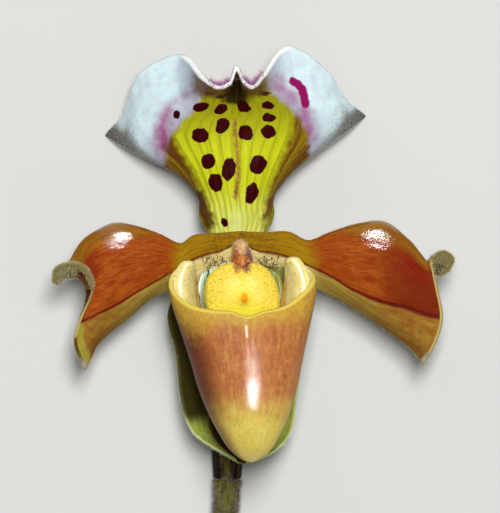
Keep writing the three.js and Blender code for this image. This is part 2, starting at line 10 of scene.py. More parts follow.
import bpy
import numpy as np
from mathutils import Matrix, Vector


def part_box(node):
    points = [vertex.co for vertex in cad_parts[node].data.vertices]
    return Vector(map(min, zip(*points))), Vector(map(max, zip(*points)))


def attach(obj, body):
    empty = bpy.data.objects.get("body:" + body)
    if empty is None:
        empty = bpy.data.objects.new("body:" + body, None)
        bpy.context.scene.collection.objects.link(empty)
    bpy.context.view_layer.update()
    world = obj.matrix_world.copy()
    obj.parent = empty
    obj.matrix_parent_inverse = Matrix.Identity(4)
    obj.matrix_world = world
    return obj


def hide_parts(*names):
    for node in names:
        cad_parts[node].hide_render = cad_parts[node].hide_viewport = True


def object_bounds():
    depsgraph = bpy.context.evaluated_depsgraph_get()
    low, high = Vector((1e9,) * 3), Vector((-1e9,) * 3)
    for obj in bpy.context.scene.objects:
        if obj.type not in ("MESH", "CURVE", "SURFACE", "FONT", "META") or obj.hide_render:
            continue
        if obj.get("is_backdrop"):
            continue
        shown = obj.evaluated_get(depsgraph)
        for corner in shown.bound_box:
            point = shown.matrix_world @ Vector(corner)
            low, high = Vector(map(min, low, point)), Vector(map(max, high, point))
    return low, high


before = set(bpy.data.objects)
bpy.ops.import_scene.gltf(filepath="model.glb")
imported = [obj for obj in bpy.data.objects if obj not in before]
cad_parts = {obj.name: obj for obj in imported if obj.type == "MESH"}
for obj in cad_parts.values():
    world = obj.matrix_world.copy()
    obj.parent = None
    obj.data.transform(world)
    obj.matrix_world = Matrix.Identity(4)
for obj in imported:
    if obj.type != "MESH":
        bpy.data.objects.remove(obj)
cad_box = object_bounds()
print("solids:", len(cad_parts), "box in mm:", [round(1000 * (b - a), 1) for a, b in zip(*cad_box)])

# %% [markdown]
# ## Units, colours and nodes
#
# Sizes are written in millimetres from the heart of the bloom, where sepals, petals and pouch meet.
# Colours are written as the hex values a paint chart would give, which are sRGB, while shaders want
# linear light, so one function converts them. One more function adds a node with its settings and
# its links, which keeps each material short enough to read, and another puts an object into the
# scene.

# %% Units, colours and nodes
MM = 0.001
HEART = np.array([-2.7, 38.5, 16.06])


def linear(code):
    parts = [int(code[k : k + 2], 16) / 255 for k in (1, 3, 5)]
    return tuple(p / 12.92 if p <= 0.04045 else ((p + 0.055) / 1.055) ** 2.4 for p in parts) + (1.0,)


def add(tree, kind, inputs=None, stops=(), **settings):
    """One node: settings as keywords, inputs as values or as the sockets that feed them."""
    made = tree.nodes.new(kind)
    for name, value in settings.items():
        setattr(made, name, value)
    for place, (share, code) in enumerate(stops):
        ramp = made.color_ramp.elements
        stop = ramp[place] if place < 2 else ramp.new(share)
        stop.position, stop.color = share, linear(code)
    for key, value in (inputs or {}).items():
        if isinstance(value, bpy.types.NodeSocket):
            tree.links.new(value, made.inputs[key])
        else:
            made.inputs[key].default_value = value
    return made


def put(name, data):
    """An object with that data, linked into the scene."""
    made = bpy.data.objects.new(name, data)
    bpy.context.scene.collection.objects.link(made)
    return made


print("white is", linear("#ffffff"), "and mid grey", [round(c, 3) for c in linear("#808080")])

# %% [markdown]
# ## Camera, floor and light
#
# A cut bloom lies on its back, so the camera looks straight down into its face. A long lens from
# more than a metre away keeps the petals at their true proportions. One small soft light stands
# close beside the lens, as a flash would, because the wet-looking highlights on petals and pouch sit
# where they face the lens. Two wide weak panels and a pale sky fill the rest.

# %% Camera
IMAGE = (500, 513)
PIXELS_PER_MM = 5.0
HEART_PIXEL = (240, 240)
VIEW_DISTANCE = 1200.0
SENSOR = 36.0

lens = bpy.data.cameras.new("camera")
lens.sensor_width = SENSOR
lens.lens = SENSOR * VIEW_DISTANCE * PIXELS_PER_MM / max(IMAGE)
lens.clip_end = 20
camera = put("camera", lens)
aside = [(IMAGE[0] / 2 - HEART_PIXEL[0]) / PIXELS_PER_MM, (HEART_PIXEL[1] - IMAGE[1] / 2) / PIXELS_PER_MM, 0]
camera.location = (HEART + aside + [0, 0, VIEW_DISTANCE]) * MM
bpy.context.scene.camera = camera
bpy.context.scene.view_settings.view_transform = "Standard"
print("lens", round(lens.lens), "mm at", [round(v, 3) for v in camera.location])

# %% Floor and lights
FLOOR_HALF = 4.0     # in metres
CORNERS = ((-1, -1), (1, -1), (1, 1), (-1, 1))

floor_mesh = bpy.data.meshes.new("floor")
floor_mesh.from_pydata([(x * FLOOR_HALF, y * FLOOR_HALF, 0) for x, y in CORNERS], [], [(0, 1, 2, 3)])
floor = put("floor", floor_mesh)
floor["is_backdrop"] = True

paper = bpy.data.materials.new("matt pale paper")
paper.use_nodes = True
finish = paper.node_tree.nodes["Principled BSDF"].inputs
finish["Base Color"].default_value = linear("#cfcfcd")
finish["Roughness"].default_value = 0.9
floor_mesh.materials.append(paper)

world = bpy.data.worlds.new("pale room")
world.use_nodes = True
sky = world.node_tree.nodes["Background"].inputs
sky["Color"].default_value = linear("#f4f3f0")
sky["Strength"].default_value = 0.1
bpy.context.scene.world = world


def panel_light(name, direction, distance, width, height, watts):
    """A rectangular soft light that faces the heart of the bloom from that direction."""
    lamp = bpy.data.lights.new(name, "AREA")
    lamp.shape, lamp.size, lamp.size_y, lamp.energy = "RECTANGLE", width, height, watts
    holder = put(name, lamp)
    towards = Vector(direction).normalized()
    holder.location = Vector(HEART * MM) + towards * distance
    holder.rotation_mode = "QUATERNION"
    holder.rotation_quaternion = towards.to_track_quat("Z", "Y")
    holder.visible_camera = False


panel_light("key", (0.06, 0.18, 1.0), 1.5, 0.32, 0.54, 24.5)
panel_light("upper fill", (-0.6, 1.0, 0.9), 1.2, 0.9, 0.6, 1.2)
panel_light("lower fill", (0.7, -1.0, 0.8), 1.4, 1.0, 0.8, 1.2)
lamps = [o.name for o in bpy.context.scene.objects if o.type == "LIGHT"]
print("floor", 2 * FLOOR_HALF, "m wide; lights:", lamps)

# %% [markdown]
# ## Curves through given points
#
# Petals are drawn as a net of points: rows from foot to tip, each from one margin to the other. A
# centripetal Catmull-Rom spline passes through every point without loops, where a subdivision
# surface would shrink away from them. The same function smooths a path, a row or a whole net.

# %% Splines, nets and their normals
def smooth(points, steps):
    """(n, ...) points to steps + 1 points on a centripetal Catmull-Rom spline through them."""
    p = np.asarray(points, float)
    p = np.concatenate([[2 * p[0] - p[1]], p, [2 * p[-1] - p[-2]]])
    place = np.linspace(0, len(p) - 3, steps + 1)
    k = np.minimum(place.astype(int), len(p) - 4)
    w = (place - k).reshape((-1,) + (1,) * (p.ndim - 1))
    a, b, c, d = p[k], p[k + 1], p[k + 2], p[k + 3]
    pairs = ((a, b), (b, c), (c, d))
    ab, bc, cd = (np.linalg.norm(r - q, axis=-1, keepdims=True) ** 0.5 + 1e-9 for q, r in pairs)
    leave = ((b - a) / ab - (c - a) / (ab + bc) + (c - b) / bc) * bc
    arrive = ((c - b) / bc - (d - b) / (bc + cd) + (d - c) / cd) * bc
    return b + w * leave + w**2 * (3 * (c - b) - 2 * leave - arrive) + w**3 * (2 * (b - c) + leave + arrive)


def net_grid(net, along, across):
    rows = smooth(np.swapaxes(np.array(net, float), 0, 1), across)
    return smooth(np.swapaxes(rows, 0, 1), along)


def unit(vectors):
    return vectors / np.maximum(np.linalg.norm(vectors, axis=-1, keepdims=True), 1e-9)


def grid_normals(grid, closed=False):
    along = np.gradient(grid, axis=0)
    across = np.roll(grid, -1, 1) - np.roll(grid, 1, 1) if closed else np.gradient(grid, axis=1)
    return unit(np.cross(along, across))


def rise(value, low, high):
    """0 below low, 1 above high and a soft step between them."""
    t = np.clip((value - low) / (high - low), 0, 1)
    return t * t * (3 - 2 * t)


def band(value, low, full, fade, end):
    """0 below low, 1 from full to fade and 0 again above end."""
    return rise(value, low, full) * (1 - rise(value, fade, end))


quarter = smooth([(1, 0, 0), (0.7, 0.7, 0), (0, 1, 0)], 4)
print("a quarter turn through three points:", quarter.round(2).tolist()[1])

# %% [markdown]
# ## From a grid to a living blade
#
# A petal is a sheet a little thicker in its middle than at its margin. We offset the grid to both
# sides and close it with a rounded rim. Along the way each point keeps fields: numbers such as how
# far it is from a margin, or how deep it lies in a spot. Materials read these fields, so colours
# follow the tissue and not the camera.

# %% Blades and meshes
MARGIN_THICK = 0.65
PETAL_THICK = 1.0
THICK_FROM = 0.35     # how far in from its margin a blade is fully thick, as a share of its width


def shares(rows, columns):
    return np.meshgrid(np.linspace(0, 1, rows), np.linspace(0, 1, columns), indexing="ij")


def hoops(index):
    """Quads between rows of points that each close into a ring."""
    ahead = np.roll(index, -1, 1)
    return np.stack([index[:-1], ahead[:-1], ahead[1:], index[1:]], -1).reshape(-1, 4)


def fan(ring, tip, turned=False):
    """Triangles from a ring of points to one tip."""
    pairs = zip(ring.tolist(), np.roll(ring, -1).tolist())
    return [[b, a, tip] if turned else [a, b, tip] for a, b in pairs]


def capped(index):
    """The faces of a round body, whose two end points are stored after its rings."""
    size = index.size
    return hoops(index).tolist() + fan(index[0], size, turned=True) + fan(index[-1], size + 1)


def rounded_rim(loop, size):
    """Quads from a ring of front points over an edge, stored last, to the same ring of back points."""
    edge = 2 * size + np.arange(len(loop))
    ahead, edge_ahead = np.roll(loop, -1), np.roll(edge, -1)
    front = np.stack([ahead, loop, edge, edge_ahead], -1)
    return np.concatenate([front, np.stack([edge_ahead, edge, loop + size, ahead + size], -1)])


def blade(grid, fields, relief=0.0, thickness=None):
    """A sheet of a thickness in mm, its front raised by a relief, with a field on each point."""
    rows, columns = grid.shape[:2]
    along, across = shares(rows, columns)
    if thickness is None:
        inward = np.minimum(np.minimum(across, 1 - across), (1 - along) * 1.5)
        thickness = MARGIN_THICK + (PETAL_THICK - MARGIN_THICK) * rise(inward, 0, THICK_FROM)
    half = np.broadcast_to(thickness, along.shape).reshape(-1, 1) / 2
    face = grid_normals(grid).reshape(-1, 3)
    face = face * np.sign(face[:, 2].mean())
    middle = grid.reshape(-1, 3)
    front = middle + face * (half + np.broadcast_to(relief, along.shape).reshape(-1, 1))
    back = middle - face * half
    index = np.arange(rows * columns).reshape(rows, columns)
    loop = np.concatenate([index[0, :-1], index[:-1, -1], index[-1, :0:-1], index[:0:-1, 0]])
    inner = np.pad(index[1:-1, 1:-1], 1, mode="edge").ravel()[loop]
    rim = middle[loop] + unit(middle[loop] - middle[inner]) * half[loop]
    a, b, c, d = index[:-1, :-1], index[:-1, 1:], index[1:, 1:], index[1:, :-1]
    quads = np.stack([a, b, c, d], -1).reshape(-1, 4)
    size, ends = index.size, len(loop)
    spread = lambda field: np.concatenate([field.ravel(), field.ravel(), field.ravel()[loop]])
    kept = {name: spread(np.broadcast_to(field, along.shape)) for name, field in fields.items()}
    kept["front"] = np.concatenate([np.ones(size), np.zeros(size), np.full(ends, 0.5)])
    kept["rim"] = np.concatenate([np.zeros(2 * size), np.ones(ends)])
    return {
        "points": np.concatenate([front, back, rim]),
        "faces": np.concatenate([quads, quads[:, ::-1] + size, rounded_rim(loop, size)]).tolist(),
        "fields": kept,
        "uv": np.stack([spread(across), spread(along)], -1),
    }


def volume(points, faces):
    total = 0.0
    for count in {len(f) for f in faces}:
        corners = points[np.array([f for f in faces if len(f) == count])]
        for k in range(1, count - 1):
            total += np.einsum("ij,ij->", corners[:, 0], np.cross(corners[:, k], corners[:, k + 1])) / 6
    return total


def store(piece, name, values):
    """A field on a piece's points, for its material and its hairs."""
    data = piece.data.attributes.new(name, "FLOAT", "POINT").data
    data.foreach_set("value", np.ascontiguousarray(values, np.float32))


def make_piece(name, shell, node):
    """A mesh object from a shell's points, faces and fields, turned outwards, in place of a CAD node."""
    faces = shell["faces"]
    cubic = volume(shell["points"], faces)
    if cubic < 0:
        faces = [f[::-1] for f in faces]
    points = (shell["points"] + HEART) * MM
    mesh = bpy.data.meshes.new(name)
    mesh.from_pydata(points.tolist(), [], faces)
    mesh.shade_smooth()
    piece = put(name, mesh)
    for field, values in shell["fields"].items():
        store(piece, field, values)
    if "uv" in shell:
        corner = np.zeros(len(mesh.loops), np.int32)
        mesh.loops.foreach_get("vertex_index", corner)
        uv = shell["uv"][corner].astype(np.float32)
        mesh.uv_layers.new(name="blade").data.foreach_set("uv", uv.ravel())
    lo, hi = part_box(node)
    off = max(np.abs(points.min(0) - lo).max(), np.abs(points.max(0) - hi).max()) / MM
    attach(piece, "root")
    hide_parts(node)
    print(f"{name}: {len(faces)} faces, {abs(cubic):.0f} mm3, within {off:.2f} mm of its solid's box")
    return piece


def near_path(x, y, path, radius, strength=1.0):
    """How deep each point lies in a stroke along a path: its strength on it, 0 at that radius."""
    best = np.full(np.shape(x), np.inf)
    for (ax, ay), (bx, by) in zip(path, path[1:]):
        dx, dy = bx - ax, by - ay
        share = np.clip(((x - ax) * dx + (y - ay) * dy) / (dx**2 + dy**2), 0, 1)
        best = np.minimum(best, np.hypot(x - ax - share * dx, y - ay - share * dy))
    return strength * (1 - best / radius)


def strongest(x, y, strokes):
    return np.maximum.reduce([near_path(x, y, *stroke) for stroke in strokes])


def ripples(x, y, wavelength, seed):
    """A soft uneven ripple between about -1 and 1, the same on every run."""
    draw = np.random.default_rng(seed)
    total = np.zeros(np.shape(x))
    for _ in range(6):
        turn, phase = draw.uniform(0, math.pi), draw.uniform(0, 2 * math.pi)
        stretch = draw.uniform(0.7, 1.5)
        way = x * math.cos(turn) + y * math.sin(turn)
        total = total + np.sin(way * 2 * math.pi * stretch / wavelength + phase)
    return total / 3


# %% [markdown]
# ## Materials of living tissue
#
# Orchid tissue is wax over wet cells: a coloured, slightly see-through body under a clear coat. The
# Principled shader's subsurface gives the body, and its coat the wax. Every marking is a layer of
# colour over the last one, held by a mask, and a mask is a stored field cut at some value, its edge
# made to waver by a noise with a grain given in millimetres.

# %% Layers, masks and the tissue shader
CELL_IOR = 1.4
WAX_IOR = 1.6
GLOW_COLOURS = (1.0, 0.5, 0.25)     # how far red, green and blue light spread in the tissue
GLOW_MM = 0.6


def new_material(name):
    material = bpy.data.materials.new(name)
    material.use_nodes = True
    material.node_tree.nodes.clear()
    return material, material.node_tree


def calc(tree, operation, *values):
    """One step of arithmetic on numbers and sockets."""
    return add(tree, "ShaderNodeMath", dict(enumerate(values)), operation=operation).outputs[0]


def fit(tree, value, low, high, to_low=0.0, to_high=1.0, kind="LINEAR"):
    """A value taken from one range to another, and held inside it."""
    ranges = {"Value": value, "From Min": low, "From Max": high, "To Min": to_low, "To Max": to_high}
    return add(tree, "ShaderNodeMapRange", ranges, interpolation_type=kind).outputs["Result"]


def stored(tree, field):
    return add(tree, "ShaderNodeAttribute", attribute_name=field).outputs["Fac"]


def cloud(tree, grain, detail):
    """A noise in the tissue, with grains of that many millimetres."""
    place = add(tree, "ShaderNodeTexCoord").outputs["Object"]
    sizes = {"Vector": place, "Scale": 1 / (grain * MM), "Detail": detail}
    return add(tree, "ShaderNodeTexNoise", sizes).outputs["Fac"]


def field_mask(tree, field, low, high, waver=0.0, grain=1.0):
    """0 where a stored field is under low, 1 where it is over high, its edge wavering."""
    value = stored(tree, field)
    if waver:
        shift = calc(tree, "SUBTRACT", cloud(tree, grain, 3.0), 0.5)
        value = calc(tree, "MULTIPLY_ADD", shift, 2 * waver, value)
    return fit(tree, value, low, high, kind="SMOOTHSTEP")


def streaks(tree, across, along, low, high):
    """Fibres that run the length of a blade: a noise squeezed across it and drawn out along it."""
    place = add(tree, "ShaderNodeUVMap", uv_map="blade").outputs["UV"]
    squeezed = add(tree, "ShaderNodeMapping", {"Vector": place, "Scale": (across, along, 1.0)})
    sizes = {"Vector": squeezed.outputs["Vector"], "Scale": 1.0, "Detail": 4.0}
    return fit(tree, add(tree, "ShaderNodeTexNoise", sizes).outputs["Fac"], low, high, kind="SMOOTHSTEP")


def speckle(tree, grain, low, high, detail=2.0):
    return fit(tree, cloud(tree, grain, detail), low, high)


def both(tree, *masks):
    """Where all the masks are: their product."""
    product = masks[0]
    for mask in masks[1:]:
        product = calc(tree, "MULTIPLY", product, mask)
    return product


def layers(tree, base, *coats):
    """Colours laid over a base, one after the other, each as a colour and the masks that hold it."""
    colour = base if isinstance(base, bpy.types.NodeSocket) else linear(base)
    for code, *masks in coats:
        over = code if isinstance(code, bpy.types.NodeSocket) else linear(code)
        inputs = {0: both(tree, *masks), 6: colour, 7: over}
        colour = add(tree, "ShaderNodeMix", inputs, data_type="RGBA").outputs[2]
    return colour


def tissue(tree, colour, rough, coat, coat_rough, bump, bump_mm, glow=0.12, coat_bump=0.4, sheen=0.15):
    """The shader of waxy tissue, and the material's output. The wax partly fills the relief under it."""
    inputs = {
        "Base Color": colour, "Roughness": rough, "IOR": CELL_IOR, "Specular IOR Level": sheen,
        "Coat Weight": coat, "Coat Roughness": coat_rough, "Coat IOR": WAX_IOR,
        "Subsurface Weight": glow, "Subsurface Radius": GLOW_COLOURS, "Subsurface Scale": GLOW_MM * MM,
    }
    for socket, depth in (("Normal", bump_mm), ("Coat Normal", bump_mm * coat_bump)):
        relief = add(tree, "ShaderNodeBump", {"Height": bump, "Distance": depth * MM, "Strength": 1.0})
        inputs[socket] = relief.outputs["Normal"]
    skin = add(tree, "ShaderNodeBsdfPrincipled", inputs)
    add(tree, "ShaderNodeOutputMaterial", {"Surface": skin.outputs["BSDF"]})


# %% [markdown]
# ## Dorsal sepal
#
# The flag of the bloom: it fans out from a narrow green neck, folds into a keel down its middle and
# bends forward at the top into a small hood. Its side lobes are white and lean back to two points.
# Fifteen columns of points are enough, closer together where the hood's waves are tight.

# %% Dorsal sepal: its net
DORSAL_NET = [
    [(-3.4, -0.4, -4.3), (-2.9, -0.5, -4.1), (-2.4, -0.6, -4.0), (-1.8, -0.6, -4.0), (-1.2, -0.6, -4.0),
     (-0.8, -0.6, -4.0), (-0.6, -0.6, -4.0), (-0.4, -0.6, -4.0), (-0.2, -0.6, -4.0), (0.1, -0.6, -4.0),
     (0.5, -0.6, -4.0), (1.1, -0.6, -4.0), (1.7, -0.6, -4.0), (2.2, -0.5, -4.1), (2.7, -0.4, -4.3)],
    [(-6.4, 2.9, -5.6), (-6.9, 2.5, -4.6), (-5.8, 2.3, -3.7), (-4.2, 2.2, -3.2), (-2.8, 2.2, -3.0),
     (-1.8, 2.2, -2.9), (-1.2, 2.2, -2.9), (-0.7, 2.2, -3.0), (-0.2, 2.2, -2.9), (0.4, 2.2, -2.9),
     (1.5, 2.2, -3.0), (2.9, 2.2, -3.2), (4.4, 2.3, -3.7), (5.5, 2.5, -4.6), (5.1, 2.9, -5.6)],
    [(-7.0, 5.6, -6.2), (-7.9, 5.2, -4.9), (-7.0, 5.1, -3.4), (-5.2, 5.0, -2.1), (-3.6, 5.0, -1.5),
     (-2.2, 5.0, -1.2), (-1.4, 5.0, -1.2), (-0.6, 5.0, -1.4), (0.1, 5.0, -1.2), (0.9, 5.0, -1.2),
     (2.3, 5.0, -1.5), (4.0, 5.0, -2.1), (5.7, 5.1, -3.4), (6.6, 5.3, -4.9), (5.8, 5.6, -6.2)],
    [(-6.9, 8.8, -6.6), (-8.0, 8.4, -5.4), (-7.4, 8.2, -3.5), (-5.8, 8.3, -1.5), (-4.2, 8.4, -0.4),
     (-2.5, 8.4, 0.1), (-1.5, 8.4, 0.1), (-0.6, 8.4, -0.2), (0.3, 8.4, 0.1), (1.4, 8.4, 0.1),
     (2.9, 8.4, -0.4), (4.5, 8.3, -1.5), (5.9, 8.2, -3.5), (6.4, 8.4, -5.4), (5.4, 8.8, -6.6)],
    [(-11.5, 12.9, -6.6), (-12.2, 13.6, -4.8), (-10.9, 14.3, -2.6), (-8.6, 14.8, -0.8), (-5.9, 15.2, 0.6),
     (-3.2, 15.4, 1.2), (-1.8, 15.5, 1.1), (-0.6, 15.5, 0.7), (0.6, 15.5, 1.1), (2.0, 15.4, 1.2),
     (4.4, 15.2, 0.6), (6.8, 14.8, -0.8), (9.0, 14.3, -2.6), (10.1, 13.7, -4.8), (9.2, 12.9, -6.6)],
    [(-17.2, 15.9, -8.4), (-17.8, 17.3, -6.2), (-15.6, 19.4, -3.4), (-11.6, 21.2, -0.8), (-7.6, 22.2, 1.2),
     (-3.8, 22.6, 1.9), (-2.0, 22.6, 1.7), (-0.6, 22.6, 1.2), (0.8, 22.6, 1.7), (2.4, 22.6, 1.9),
     (5.6, 22.4, 1.2), (9.6, 21.8, -0.6), (13.4, 20.8, -3.0), (15.9, 19.5, -5.8), (15.8, 18.2, -8.2)],
    [(-22.6, 18.7, -11.6), (-21.8, 21.6, -7.6), (-18.6, 25.6, -3.6), (-13.6, 28.6, -0.4), (-8.4, 28.8, 2.6),
     (-3.9, 28.0, 4.4), (-2.1, 28.4, 4.0), (-0.6, 29.6, 3.0), (0.9, 28.4, 4.0), (2.5, 28.0, 4.4),
     (5.6, 29.2, 3.0), (10.4, 30.4, -0.2), (16.2, 27.8, -3.4), (20.2, 24.8, -7.0), (21.0, 21.9, -10.6)],
    [(-27.1, 21.3, -15.85), (-23.3, 25.4, -9.8), (-20.0, 33.3, -5.4), (-11.6, 36.9, -1.2), (-7.2, 32.3, 5.4),
     (-4.2, 30.4, 7.5), (-2.0, 31.4, 7.2), (-0.7, 34.6, 5.0), (0.7, 31.7, 7.2), (2.5, 30.5, 7.6),
     (4.6, 32.8, 6.0), (9.6, 38.6, -0.8), (17.2, 34.0, -5.0), (21.2, 28.2, -9.2), (25.2, 25.2, -15.85)],
]
dorsal_grid = net_grid(DORSAL_NET, 120, 168)
net_size = len(DORSAL_NET), len(DORSAL_NET[0])
print("dorsal sepal:", dorsal_grid.shape[:2], "points from a net of", net_size)

# %% [markdown]
# Its markings are placed in millimetres from the heart. The yellow middle of the fan has a
# left and a right border, spots are tilted ellipses in it, and strokes along short paths make the
# purple on the white lobes, the stained midrib and the brown patches at the neck.

# %% Dorsal sepal: fields for its markings
# Height above the heart, then where the white starts at the left and at the right, in mm.
WHITE_BORDER = [
    (-1, -20, 20), (12, -20, 20), (15.5, -15.2, 14.0), (18.8, -15.0, 13.9), (21, -14.0, 13.6),
    (23.4, -12.0, 12.6), (25.2, -9.9, 11.2), (26.8, -8.6, 9.4), (28, -8.0, 8.0), (29.2, -7.6, 6.6),
    (31, -5.5, 5.0), (40, -5, 5),
]
# The same for the clear yellow inside it. Between the two lies the brown.
YELLOW_BORDER = [
    (-1, -4.2, 3.4), (5, -5.4, 4.6), (7.2, -5.7, 4.2), (10.6, -7.1, 5.0), (14.2, -8.7, 6.4),
    (18, -11.2, 8.2), (21, -12.7, 9.6), (24, -11.6, 10.2), (25.4, -9.2, 10.0), (27, -8.4, 8.8),
    (29, -7.6, 6.4), (40, -7, 6),
]
# Spots: place, half width, half height and tilt in degrees.
SPOTS = [
    (-7.8, 21.0, 1.75, 1.5, 0), (-3.5, 23.0, 1.25, 1.8, -20), (1.2, 21.5, 1.4, 1.65, 10),
    (5.5, 21.7, 1.5, 1.4, 0), (5.6, 24.5, 1.5, 0.9, -8), (5.4, 27.0, 1.4, 0.85, -8),
    (0.8, 26.8, 1.5, 1.05, -42), (-3.8, 26.3, 1.35, 0.95, 40), (-7.7, 26.7, 1.7, 0.9, 10),
    (-6.2, 15.8, 1.4, 1.55, -15), (-2.3, 14.2, 1.25, 2.35, -5), (3.5, 15.1, 1.6, 2.0, -25),
    (-4.7, 11.6, 1.35, 1.9, 15), (2.2, 9.4, 1.15, 2.15, -12), (-3.0, 3.6, 0.62, 1.1, 15),
    (-12.5, 25.1, 0.75, 0.95, -30), (-5.6, 29.5, 1.3, 0.42, 5), (-3.8, 28.9, 1.1, 0.45, 20),
    (4.5, 29.4, 1.4, 0.48, -5),
]
# Strokes: a path, how far the colour reaches from it and, where it isn't 1, how strong it is.
PURPLE_STROKE = ([(10.3, 31.7), (11.3, 31.2), (12.2, 30.2), (12.7, 28.6), (12.9, 27.2)], 0.95)
PURPLE_SMEARS = [
    ([(-14.4, 25.8), (-15.6, 22.6), (-15.4, 18.8)], 2.8), ([(-15.2, 21.8), (-15.0, 19.4)], 1.2, 1.6),
    ([(12.6, 25.8), (13.6, 21.4)], 2.8, 0.9), ([(7.4, 31.0), (10.4, 28.6)], 3.0, 0.8),
    ([(-13.2, 27.4), (-10.0, 29.2)], 2.4, 0.45),
]
MIDRIB_STAIN = [
    ([(-1.2, 23.6), (-0.8, 20.0), (-0.5, 16.0), (-0.3, 12.0), (-0.9, 8.6)], 1.3),
    ([(-0.6, 11.6), (-0.9, 9.4)], 0.7, 1.8),
]
NECK_PATCHES = [
    ([(-8.0, 9.0), (-7.0, 6.2), (-5.9, 3.6)], 1.8), ([(6.0, 8.4), (5.2, 6.2), (4.6, 4.4)], 1.1, 0.6),
]
NECK_STRIPE = ([(-0.7, 7.4), (-0.7, 0.0)], 2.2)     # a pale one, down between the patches
NO_SPOT = -9.0     # a depth far outside any spot
HOOD_SIDES = (-10.9, -7.1, 2.4, 7.6)     # where the painted brown shade under the hood starts and ends
HOOD_FOOT = 28.6
HOOD_REACH = 9.0     # how far from the midrib the margin is a crisp white line, and not just downy
KEEL_SHADE = {"x": -0.9, "foot": 27.6, "top": 34.6, "half": 4.4}     # the painted shade in the fold below its peak
FOLD_SHADE_SIDES, FOLD_SHADE_FOOT = (-14.6, -10.0, -8.8, -7.6), (26.0, 30.0)     # the painted grey shade where the left lobe turns
MIDRIB_X = -0.7
VEINS, VEIN_HIGH = 5, 0.05
CRINKLE_WIDE, CRINKLE_HIGH = 3.0, 0.05


def sides_of(border, y):
    """Where a border runs at the left and at the right, at each height."""
    heights, left, right = np.array(border).T
    return np.interp(y, heights, left), np.interp(y, heights, right)


def inside(x, y, border):
    left, right = sides_of(border, y)
    return np.minimum(x - left, right - x)


def spot_depth(x, y):
    """How many millimetres inside the nearest spot each point lies."""
    deepest = np.full(x.shape, NO_SPOT)
    for sx, sy, wide, high, tilt in SPOTS:
        turned = (x - sx + 1j * (y - sy)) * np.exp(-1j * math.radians(tilt))
        depth = (1 - np.hypot(turned.real / wide, turned.imag / high)) * min(wide, high)
        deepest = np.maximum(deepest, depth)
    return deepest


def keel_shade_depth(x, y):
    """The painted shade in the fold under the peak: as wide as the hood at its foot, and narrower all the
    way up.
    """
    rising = (y - KEEL_SHADE["foot"]) / (KEEL_SHADE["top"] - KEEL_SHADE["foot"])
    depth = 1 - np.abs(x - KEEL_SHADE["x"]) / (KEEL_SHADE["half"] * np.clip(1 - rising, 0.1, 1.0))
    return np.where(y > KEEL_SHADE["foot"] - 1, depth * rise(y, KEEL_SHADE["foot"] - 0.8, KEEL_SHADE["foot"] + 0.4), 0)


def dorsal_fields(grid):
    x, y = grid[..., 0], grid[..., 1]
    along, across = shares(*grid.shape[:2])
    left, right = sides_of(YELLOW_BORDER, y)
    side = np.minimum(across, 1 - across)
    from_midrib = np.abs(x - MIDRIB_X)
    return {
        "height": y,
        "core": inside(x, y, WHITE_BORDER),
        "yellow": inside(x, y, YELLOW_BORDER),
        "fan": (x - (left + right) / 2) / ((right - left) / 2),
        "spot": np.where(along < 0.93, spot_depth(x, y), NO_SPOT),
        "stroke": np.where(along < 0.98, near_path(x, y, *PURPLE_STROKE), -1),
        "smear": np.maximum(strongest(x, y, PURPLE_SMEARS), 0),
        "stain": strongest(x, y, MIDRIB_STAIN),
        "neck": strongest(x, y, NECK_PATCHES),
        "stripe": near_path(x, y, *NECK_STRIPE) * (1 - rise(y, 2.5, 8.5)),
        "shoulder": (1 - rise(side, 0.05, 0.16)) * (1 - rise(along, 0.30, 0.48)),
        "hood": band(x, *HOOD_SIDES) * rise(y, HOOD_FOOT - 1.2, HOOD_FOOT + 1.6)
        * (1 - rise(along, 0.97, 0.99)),
        "keel_shade": keel_shade_depth(x, y) * (1 - rise(along, 0.975, 0.992)),
        "fold": band(x, *FOLD_SHADE_SIDES) * rise(y, *FOLD_SHADE_FOOT),
        "tip": rise(along, 0.58, 0.97) * (1 - rise(side, 0.0, 0.12))
        * (1 - 0.9 * rise(along, 0.88, 0.97) * rise(side, 0.02, 0.06)),
        "edge": (1 - rise(np.minimum(side * 60, (1 - along) * 40), 0.1, 1.0))
        * (1 - 0.6 * rise(from_midrib, HOOD_REACH, HOOD_REACH + 3)),
        "valley": rise(along, 0.93, 0.97) * band(from_midrib, 0.8, 1.6, 4.2, 6.2),
    }


fields = dorsal_fields(dorsal_grid)
vein_relief = VEIN_HIGH * np.cos(fields["fan"] * VEINS * 2 * math.pi) * rise(fields["yellow"], -1, 1)
crinkle = CRINKLE_HIGH * ripples(dorsal_grid[..., 0], dorsal_grid[..., 1], CRINKLE_WIDE, 11)
dorsal = make_piece("dorsal_sepal_blade", blade(dorsal_grid, fields, vein_relief + crinkle), "dorsal_sepal")

